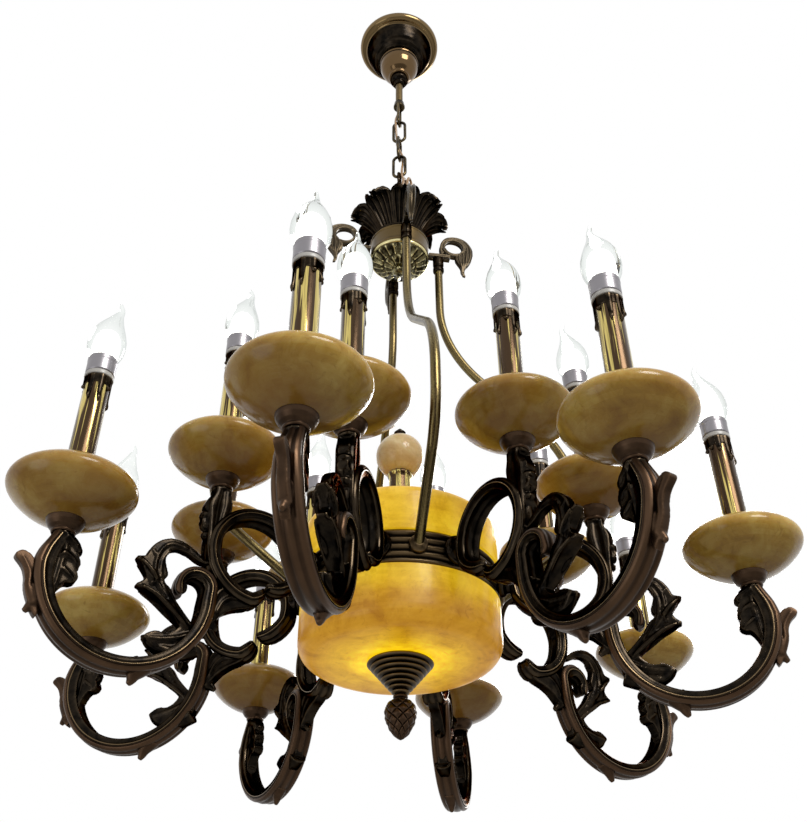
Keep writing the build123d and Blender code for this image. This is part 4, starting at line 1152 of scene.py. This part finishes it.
# Half the section of the arm's straps: a bead between grooves outside, a bright line along the side and a
# hollowed inner face. The other half mirrors it.
armHalf = [(0.0, 1.03), (0.2, 0.98), (0.3, 0.84), (0.48, 0.84), (0.64, 0.93), (0.8, 0.84), (0.92, 0.62),
        (0.96, 0.42), (0.91, 0.3), (0.96, 0.2), (1.0, 0.1), (0.99, -0.02), (0.93, -0.12), (0.89, -0.45),
        (0.87, -0.78), (0.8, -0.95), (0.68, -1.0), (0.5, -0.8), (0.25, -0.58), (0.0, -0.52)]
armSection = armHalf + [(-x, n) for x, n in armHalf[-2:0:-1]]
sideFinishes = [brass["black"]] * 10 + [brass["edge"]] + [brass["black"]] * 8
armFinishes = [brass["face"]] * 9 + sideFinishes[9:] + sideFinishes[:8:-1] + [brass["face"]] * 9
ringFinishes = sideFinishes + sideFinishes[::-1]


def armScroll(s):
    outer = flowing([(337.5, -14.2), (341, -22), (345.5, -32), (348, -43)], 3)[:-1] + arc(s["outerCentre"],
            s["outerRadius"], 0, -180, 60)
    inner = flowing([(323, -14.2), (327, -24), (330, -34), (331.5, -46)], 3)[:-1] + arc(s["innerCentre"],
            s["innerRadius"], 0, -180, 60)
    outer += arc((211, -33), 19, 178, 8, 22) + flowing([(230.2, -33), (230.6, -38), (228.6, -42.4),
            (225.4, -43.6)], 3)
    inner += arc((213.5, -35), 8.2, 178, 16, 22) + flowing([(221.4, -32.6), (219.8, -36), (220.4, -40.4),
            (223, -43.2)], 3)
    count = len(outer)

    def width(i):
        # narrower at the stem and towards the curled end
        return 0.72 + 0.28 * (i / 14) if i < 14 else 1 - 0.3 * max(0, i - count + 34) / 34

    return sweptRibbon("armScroll", outer, inner, [(x * s["half"], n) for x, n in armSection],
                       [width(i) for i in range(count)], armFinishes)


def armRing(s):
    # from the blunt tip that points to the drum, up round the ring and down to the tongue that curls back
    steps = [(-108, 35.6, 33.4, 0.5), (-106.5, 38.4, 31.6, 0.7), (-103, 42, 31.2, 0.84),
            (-98, 45.6, 32.4, 0.93), (-92, 48.2, 34.4, 1.0)]
    steps += [(-86 + 5 * i, s["outer"], s["inner"], 1.0) for i in range(56)]
    steps += [(195, 48.6, 36.6, 1.0), (202, 47.4, 35.2, 1.0), (210, 45.8, 33.2, 0.98), (218, 44, 31, 0.95),
            (226, 42, 29, 0.9), (233, 39.6, 27.2, 0.84), (239, 36.8, 26.2, 0.76), (243, 34, 26.4, 0.66),
            (245.5, 31.4, 28.2, 0.45)]
    cx, cz = s["centre"]
    lines = [[(cx + r * math.cos(math.radians(a)), cz + r * math.sin(math.radians(a))) for a,
            r in ((step[0], step[k]) for step in steps)] for k in (1, 2)]
    return sweptRibbon("armRing", lines[0], lines[1], [(x * s["half"], n) for x, n in armSection],
            [step[3] for step in steps], ringFinishes)


def leafBody(name, outline, half, veins, steps=3):
    meshes = [pad(name, flowing(outline, steps, True), half, 0.62)]
    for line, size in veins:
        for side in (1, -1):
            path = flowing(upright(line, side * half * 0.62), 4)
            radii = [size * (1 - 0.6 * i / (len(path) - 1)) for i in range(len(path))]
            meshes.append(tube(name + "Vein", path, radii, 8))
    return meshes


def horn(name, points, radii, flatten=1.0):
    path = flowing(upright(points), 4)
    size = flowing([(r,) for r in radii], 4)
    return tube(name, path, [max(0.35, r[0]) for r in size], 14, flatten=flatten)


def armMeshes(s):
    meshes = []
    # upright post to the inner light, with beads on its outer edge
    meshes.append(sweptRibbon("armPost", flowing([(205.5, 71.8), (206, 64), (210, 52), (209, 38), (208, 22),
            (207.5, 6), (203, -10), (196, -22)], 4), flowing([(190.5, 71.8), (190, 64), (187.5, 52), (191, 38),
            (193, 22), (193, 6), (189, -10), (186, -20)], 4), strapSection(8.6)))
    meshes += leafBody("postLeaf", [(203, 66), (211, 57), (213, 47), (209, 42), (214, 36), (213, 29), (208, 25),
            (208, 14), (200, 4), (194, 18), (192, 34), (189, 48), (192, 62)], 8.2,
            [([(199, 62), (203, 48), (201, 28), (200, 8)], 2.2),
            ([(206, 58), (209, 48), (204, 36), (202, 22)], 1.5), ([(194, 58), (193.5, 44), (197, 26)], 1.5)])
    # fluted neck from the ring's tail to the scroll's back
    neckOutline = [(157, -36), (163, -32), (172, -27), (182, -26.5), (189, -29.5), (194, -36), (197, -46),
            (199, -57), (195, -62), (189, -57), (182, -50), (172, -44.5), (162, -41)]
    meshes.append(pad("armNeck", flowing(neckOutline, 3, True), 6.9, 0.9))
    for across in (-5.4, 0, 5.4):
        meshes.append(tube("neckFlute", flowing([(160, across * 0.7, -33.5), (170, across, -27.6),
                (182, across, -26.4), (191, across, -33), (194.5, across, -44), (197, across, -54)], 4),
                [1.9] * 21, 8))
    for side in (1, -1):
        meshes.append(tube("neckVein", flowing([(166, side * 6, -35), (177, side * 6, -34.5),
                (186, side * 6, -41), (191, side * 6, -52)], 4), 1.4, 8))
    # spiked acanthus leaf that climbs inside the scroll
    leaf = [(209, -78), (218, -73), (229, -63), (237, -54.5), (246, -50.5), (254, -46.5), (263.5, -43),
            (258, -38), (256, -33), (258.5, -28), (262, -22.5), (267, -17.5), (259.5, -15), (257, -9),
            (253, -2), (246, 4.5), (236, 8), (226, 6.5), (216, 2), (203, -8.5), (212, -8), (221, -3.6),
            (231, -2), (238, -5), (241.6, -12), (239.5, -21), (237, -28), (240, -34), (233, -40), (227, -49),
            (217, -60), (207, -70)]
    meshes += leafBody("armLeaf", leaf, 7.4, [([(217, -70), (232, -53), (246, -37), (250, -22), (247, -7),
            (238, 2), (224, 1)], 2.2), ([(228, -56), (238, -43), (244, -30), (244.5, -16), (240, -6)], 1.7),
            ([(238, -52), (248, -47.5), (259, -43.5)], 1.9), ([(246, -34), (256, -25), (264, -18.5)], 2.0),
            ([(249, -14), (254, -8)], 1.5), ([(250, -40), (254, -32), (256, -27)], 1.4)])
    for side in (1, -1):   # edges of the leaf that roll outwards
        meshes.append(tube("leafRoll", flowing([(214, side * 5, -72), (230, side * 6.4, -60),
                (244, side * 7.4, -50), (258, side * 6.4, -44)], 4), [1.6, 1.8, 2.0, 2.2, 2.3, 2.4, 2.4, 2.3,
                2.2, 2.0, 1.8, 1.5, 1.1], 8))
        meshes.append(tube("leafRoll", flowing([(247, side * 6.8, -36), (254, side * 7.8, -28),
                (263, side * 6.6, -20)], 4), [1.8, 2.0, 2.2, 2.3, 2.2, 2.0, 1.7, 1.4, 1.0], 8))
    root = [(203, -80), (209, -71), (219, -70), (226, -77), (233, -80), (241, -79.5), (250, -85.5), (245, -91),
            (236, -95), (222, -100), (209, -96)]
    meshes += leafBody("armLeafCurl", root, 8.6, [([(210, -76), (222, -82), (236, -86), (246, -87)], 2.1),
            ([(212, -86), (224, -92), (236, -93)], 1.8)])
    meshes.append(horn("leafRoot", [(206, -88), (218, -94), (232, -95), (244, -91), (251, -84.5)], [8, 6.5, 5.2,
            3.6, 1.2], 1.2))
    # small flag leaf, thorns and the leaf relief under the outer cup
    flag = [(337, -90), (345, -79), (350, -68), (352, -58), (356, -50), (363, -43), (358, -37.5), (350, -40),
            (345.5, -47), (344, -57), (341, -68), (335, -78)]
    meshes += leafBody("flagLeaf", flag, 6.4, [([(341, -80), (347, -66), (349, -54), (358, -41.5)], 1.8)], 3)
    cx, cz = s["scroll"]["outerCentre"]
    for angle, reach, spread in ((-30, 89, 11), (-100, 87, -11), (-165, 88.5, -10)):
        base = math.radians(angle + spread * 0.9)
        mid = math.radians(angle + spread * 0.35)
        tip = math.radians(angle)
        bend = ((70, base), (77, mid), (82, 0.5 * (mid + tip)), (reach - 1.5, tip))
        at = [(cx + r * math.cos(a), cz + r * math.sin(a)) for r, a in bend]
        meshes.append(horn("armThorn", at, [10.5, 6.8, 4.2, 2.3], 0.9))
    cluster = [(334, -13.5), (323, -15), (316.5, -19.5), (313.5, -26), (316.5, -30.5), (312.5, -35),
            (311.8, -41), (315.5, -45.5), (311.6, -49), (312.4, -54.5), (317, -57), (321, -58), (326, -67),
            (329.5, -82), (334, -62), (338, -40), (339, -24)]
    meshes += leafBody("stemLeaf", cluster, 9.8, [([(330, -16), (326, -28), (327, -44), (329, -68)], 2.2),
            ([(325, -18), (318.5, -24), (317, -28)], 1.9), ([(325, -32), (317.5, -37), (315.5, -41)], 2.0),
            ([(325, -46), (318, -51), (315, -53.5)], 1.9), ([(334, -18), (332.5, -34), (332, -58)], 1.8)])
    for z, size in ((-27, 5.2), (-41.5, 4.6), (-53, 3.4)):
        meshes.append(horn("stemLobe", [(328, z + 9), (320, z + 5), (314.5, z), (315.5, z - 2.5)], [size + 1.4,
                size, size * 0.72, size * 0.4], 1.5))
    # beads and the boss that seats on the band
    for x, z, r in ((212.5, 40, 4.6), (211.5, 29.5, 4.0), (210, 20.5, 3.2)):
        meshes.append(horn("postBead", [(x - 3, z), (x, z + 0.1), (x + r * 0.6, z)], [r, r, r * 0.5], 1.5))
    boss = s["boss"]
    bossMesh = lathe("armBoss", rounded([(0, boss["from"]), (boss["radius"] - 0.6, boss["from"]),
            (boss["radius"], boss["from"] + 1.2), (boss["radius"], boss["from"] + 5), (12.2, boss["from"] + 7),
            (11.4, boss["to"]), (0, boss["to"])], 0.8), 48)
    bossMesh.transform(shift(0, 0, 18) @ spun(90, "Y"))
    meshes.append(bossMesh)
    for x, z, low, r in ((outerReach, 0, -18.5, 8.6), (innerReach, innerRise, -17.5, 8.8)):
        collar = lathe("seatCollar", rounded([(0, z - 14.2), (r, z - 14.2), (r + 1.2, z - 15.4), (r, z - 16.8),
                (r - 1.4, z + low), (0, z + low)], 0.5), 32)
        collar.transform(shift(x, 0, 0))
        meshes.append(collar)
    return meshes


def buildArms(s):
    # straps keep their sharp mouldings; leaves, neck, post and boss are poured as one skin over them
    poured = cast("armCasting", armMeshes(s), s["voxel"], 2, 0.4)
    poured.materials.append(brass["black"])
    cx, cz = s["scroll"]["outerCentre"]
    paintWhere(poured, brass["face"], lambda x, y, z: math.hypot(x - cx,
            z - cz) > 76.5 and (x > 330 or z < -100))
    meshes = [poured, armScroll(s["scroll"]), armRing(s["ring"])]
    for mesh in meshes:
        mesh.transform(shift(0, 0, rimHeight))
    print("one arm cast:", len(poured.polygons), "faces")
    for k in range(armCount):
        piece = joined(f"armCasting_{k + 1}", [moved(mesh, spun(45 * k)) for mesh in meshes], angle=42)
        finishPiece(piece, "fixture", "patinated_brass", f"arm_{k + 1}")


buildArms(armShape)
print("arms built")


# Lights.
lightShape = {
    "cup": [(5.3, -14), (9.6, -14), (10.4, -12.6), (9.9, -11.4), (10.8, -10.4), (13, -8.6), (15.2, -5.4),
        (16.2, -2.4), (16.3, -0.4), (15.2, -0.2), (14.6, -2), (12.6, -3.6), (5.3, -3.6)],
    "bowl": [(5.5, -2.8), (10, -2.8), (16, -1.6), (25, 1.4), (35, 6.4), (44, 13), (51, 20), (54.4, 25.4),
        (54.9, 30), (52.8, 34.6), (47, 39.5), (38, 44), (28, 47.4), (19, 49.6), (14, 50.1), (5.5, 50.1)],
    "candleLow": 50.3, "candleHigh": 148.3, "candleRadius": 11.5, "sleeveDrop": 31.0, "holderHigh": 153.4,
    "collar": (153.6, 172.6), "glassTop": 247.0, "glassRadius": 18.1, "lean": -10.5,
}


def dripSleeve(s, seed):
    # Wax that has run over the candle's rim and down its side in drops of several lengths.
    rng = random.Random(seed)
    bore, top, drop = s["candleRadius"] + 0.2, s["candleHigh"], s["sleeveDrop"]
    drips, at = [], 0.0
    for i in range(8):
        middle = at + rng.uniform(-0.1, 0.1)
        reach = rng.choice((0.95, 0.6, 0.78, 0.45, 1.0)) * drop
        drips.append((middle, reach, rng.uniform(0.2, 0.27)))
        at += fullTurn / 8
    segments, rows = 96, 12
    verts, faces = [], []

    def length(angle):
        longest = 0.3 * drop
        for centre, reach, half in drips:
            gap = abs((angle - centre + math.pi) % fullTurn - math.pi) / half
            if gap < 1:
                longest = max(longest, reach - (reach - 0.3 * drop) * (1 - math.sqrt(1
                        - gap * gap)) if gap > 0 else reach)
        return longest

    def bulge(angle, depth):
        out = 0.35
        for centre, reach, half in drips:
            gap = abs((angle - centre + math.pi) % fullTurn - math.pi) / half
            if gap < 1 and depth < reach:
                along = depth / reach
                out = max(out, (0.9 + 1.2 * max(0, 1 - abs(along
                        - 0.86) / 0.16)) * math.cos(gap * math.pi / 2) ** 0.8 + 0.3)
        return min(out, 2.3)

    for i in range(rows + 1):
        for k in range(segments):
            angle = fullTurn * k / segments
            depth = length(angle) * i / rows
            r = bore + (bulge(angle, depth) if i < rows else 0.05)
            verts.append((r * math.cos(angle), r * math.sin(angle), top - depth))
    base = len(verts)
    for i in range(rows + 1):
        for k in range(segments):
            angle = fullTurn * k / segments
            verts.append((bore * math.cos(angle), bore * math.sin(angle), top - length(angle) * i / rows))
    for i in range(rows):
        for k in range(segments):
            t = (k + 1) % segments
            a, b, c, d = i * segments + k, i * segments + t, (i + 1) * segments + t, (i + 1) * segments + k
            faces.append((a, d, c, b))
            faces.append((base + a, base + b, base + c, base + d))
    for k in range(segments):
        t = (k + 1) % segments
        faces.append((k, t, base + t, base + k))
        faces.append((rows * segments + t, rows * segments + k, base + rows * segments + k, base
                + rows * segments + t))
    return meshFrom("dripSleeve", verts, faces)


def bulbMesh(s):
    low, high = s["collar"]
    top, wide, lean = s["glassTop"], s["glassRadius"], s["lean"]
    height = top - high

    def flame():
        rings = []
        for share, r in ((0.0, 0.72), (0.04, 0.8), (0.12, 0.93), (0.22, 0.995), (0.32, 0.98), (0.42, 0.89),
                (0.52, 0.74), (0.61, 0.57), (0.7, 0.4), (0.78, 0.27), (0.85, 0.19), (0.91, 0.14), (0.96, 0.105),
                (0.985, 0.08)):
            out = lean * (max(0, share - 0.45) ** 1.5 * 2.6 - 5.0 * max(0, share - 0.88))
            rings.append((max(0.5, wide * r), high + height * share, out))
        return rings

    def blown(name, rings, segments=40):
        verts, faces = [], []
        for r, z, out in rings:
            for k in range(segments):
                a = fullTurn * k / segments
                verts.append((out + r * math.cos(a), r * math.sin(a), z))
        for i in range(len(rings) - 1):
            faces += ringFaces(i, i + 1, segments)
        verts.append((rings[-1][2] * 1.02, 0, rings[-1][1] + min(1.0, rings[-1][0])))
        last = (len(rings) - 1) * segments
        for k in range(segments):
            faces.append((last + k, last + (k + 1) % segments, len(verts) - 1))
        faces.append(tuple(reversed(range(segments))))
        return meshFrom(name, verts, faces)

    def ribs(a, r, z):
        ribbed = low + 2 < z < low + 12.5 and r > 13
        return r * (1 - 0.03 * max(0, math.cos(20 * a))) if ribbed else r, z

    glass = blown("bulbGlass", flame())
    glass.materials.append(clearGlass)
    collar = lathe("bulbCollar", rounded([(0, low), (12.6, low), (13.4, low + 1), (13.4, low + 13),
            (13.7, low + 14), (13.7, low + 17.5), (13, high - 0.4), (0, high - 0.4)], 0.4), 60, reshape=ribs)
    collar.materials.append(spunAluminium)
    base = lathe("bulbBase", rounded([(0, low - 22), (3, low - 22), (5, low - 20), (6.8, low - 18),
            (6.8, low - 2), (6.8, low), (0, low)], 0.4), 24)
    base.materials.append(spunAluminium)
    core = lathe("bulbCore", flowing([(0, high), (9.5, high + 0.2), (10, high + 6), (9.2, high + 18),
            (7.4, high + 26), (4, high + 31), (0, high + 32)], 3), 28)
    core.materials.append(glowingLamp)
    return [glass, collar, base, core]


def buildLights(s):
    rings = lightRings
    finishPiece(repeated("lightCups", lathe("lightCup", rounded(s["cup"], 0.5, True), 48, closed=True),
            brass["face"], rings), "fixture", "antique_brass", "light_cups")
    bowl = lathe("bowl", flowing(s["bowl"], 3), 96, closed=True)
    finishPiece(repeated("bowls", bowl, bowlStone, rings, 60), "fixture", "honey_stone", "bowls")
    r, low, high = s["candleRadius"], s["candleLow"], s["candleHigh"]
    candle = [(r - 1.2, low), (15.3, low), (15.5, low + 1), (14.6, low + 2), (13, low + 2.6), (12.6, low + 4),
            (r, low + 5.2), (r, high), (r - 1.2, high)]
    finishPiece(repeated("candleTubes", lathe("candleTube", rounded(candle, 0.4, True), 48, closed=True),
            brass["candle"], rings), "fixture", "antique_brass", "candle_tubes")
    sleeves = []
    for ringIndex, (count, reach, rise, first) in enumerate(rings):
        for k in range(count):
            mesh = dripSleeve(s, 10 * ringIndex + k + 1)
            mesh.transform(spun(360 * k / count) @ shift(reach, 0, rise))
            sleeves.append(mesh)
    finishPiece(joined("dripSleeves", sleeves, [brass["black"]], angle=70), "fixture", "patinated_brass",
            "drip_sleeves")
    holder = [(0, 126), (9.8, 126), (9.8, high + 0.2), (13, high + 0.2), (13.4, high + 1), (13.4, high + 4.2),
            (12.8, s["holderHigh"]), (7.2, s["holderHigh"]), (7.2, 129.5), (0, 129.5)]
    nipple = lathe("nipple", [(0, -13), (5, -13), (5, 126.5), (0, 126.5)], 24)
    socket = lathe("holder", rounded(holder, 0.3), 40)
    both = joined("holderSeed", [nipple, socket])
    finishPiece(repeated("lampholders", both.data, whiteHolder, rings), "fixture", "white_thermoplastic",
            "lampholders")
    bpy.data.objects.remove(both)
    parts = bulbMesh(s)
    number = 0
    for count, reach, rise, first in rings:
        for k in range(count):
            number += 1
            place = spun(360 * k / count) @ shift(reach, 0, rise)
            piece = joined(f"flameBulb_{number}", [moved(mesh, place) for mesh in parts], angle=35)
            finishPiece(piece, f"bulb_{number}_body", "bulb_glass", f"bulb_{number}")


buildLights(lightShape)
print("lights built")


# Studio.
studio = {"floor": -2.6, "world": 0.38, "key": 50.0, "fill": 8.0, "rim": 30.0, "paper": (0.82, 0.82, 0.81),
        "bounce": (0.3, 0.28, 0.25)}


def areaLamp(name, place, target, size, power, tint=(1, 1, 1)):
    data = bpy.data.lights.new(name, "AREA")
    data.shape = "DISK"
    data.size = size
    data.energy = power
    data.color = tint
    lamp = addObject(name, data)
    lamp.location = place
    lamp.rotation_euler = (Vector(target) - Vector(place)).to_track_quat("-Z", "Y").to_euler()


def buildStudio(s):
    bm = bmesh.new()
    bmesh.ops.create_grid(bm, x_segments=1, y_segments=1, size=6)
    mesh = bpy.data.meshes.new("studioFloor")
    bm.to_mesh(mesh)
    bm.free()
    mesh.transform(Matrix.Translation((0, 0, s["floor"])))
    # the floor looks light but throws little light back up
    paper, tree, shader = newMaterial("floorPaper", s["paper"], 0, 0.8)
    rays = tree.nodes.new("ShaderNodeLightPath").outputs
    feed(tree, shader["Base Color"], mixColour(tree, rays["Is Diffuse Ray"], s["paper"], s["bounce"]))
    floor = newPiece("studioFloor", mesh, [paper])
    world = bpy.data.worlds.new("studioWorld")
    bpy.context.scene.world = world
    world.use_nodes = True
    tree = world.node_tree
    # white where it's seen, straight or mirrored, and dimmer and warmer where it lights
    plain = tree.nodes["Background"]
    feed(tree, plain.inputs["Color"], (1.0, 0.97, 0.92))
    feed(tree, plain.inputs["Strength"], s["world"])
    backdrop = node(tree, "ShaderNodeBackground", in_Color=(1, 1, 1), in_Strength=1.0)
    rays = tree.nodes.new("ShaderNodeLightPath").outputs
    seen = calc(tree, "MAXIMUM", rays["Is Camera Ray"], rays["Is Glossy Ray"])
    either = node(tree, "ShaderNodeMixShader", in_Fac=calc(tree, "MAXIMUM", seen, rays["Is Transmission Ray"]))
    feed(tree, either.inputs[1], plain.outputs[0])
    feed(tree, either.inputs[2], backdrop.outputs[0])
    feed(tree, tree.nodes["World Output"].inputs["Surface"], either.outputs[0])
    middle = (0, 0, -0.7)
    areaLamp("keyLamp", (1.6, 1.5, 0.6), middle, 1.2, s["key"], (1.0, 0.98, 0.95))
    areaLamp("fillLamp", (1.9, -1.3, -1.7), middle, 1.4, s["fill"], (0.95, 0.97, 1.0))
    areaLamp("rimLamp", (-2.0, 0.4, 0.2), middle, 1.0, s["rim"])


buildStudio(studio)
bpy.context.scene.view_settings.view_transform = "Standard"
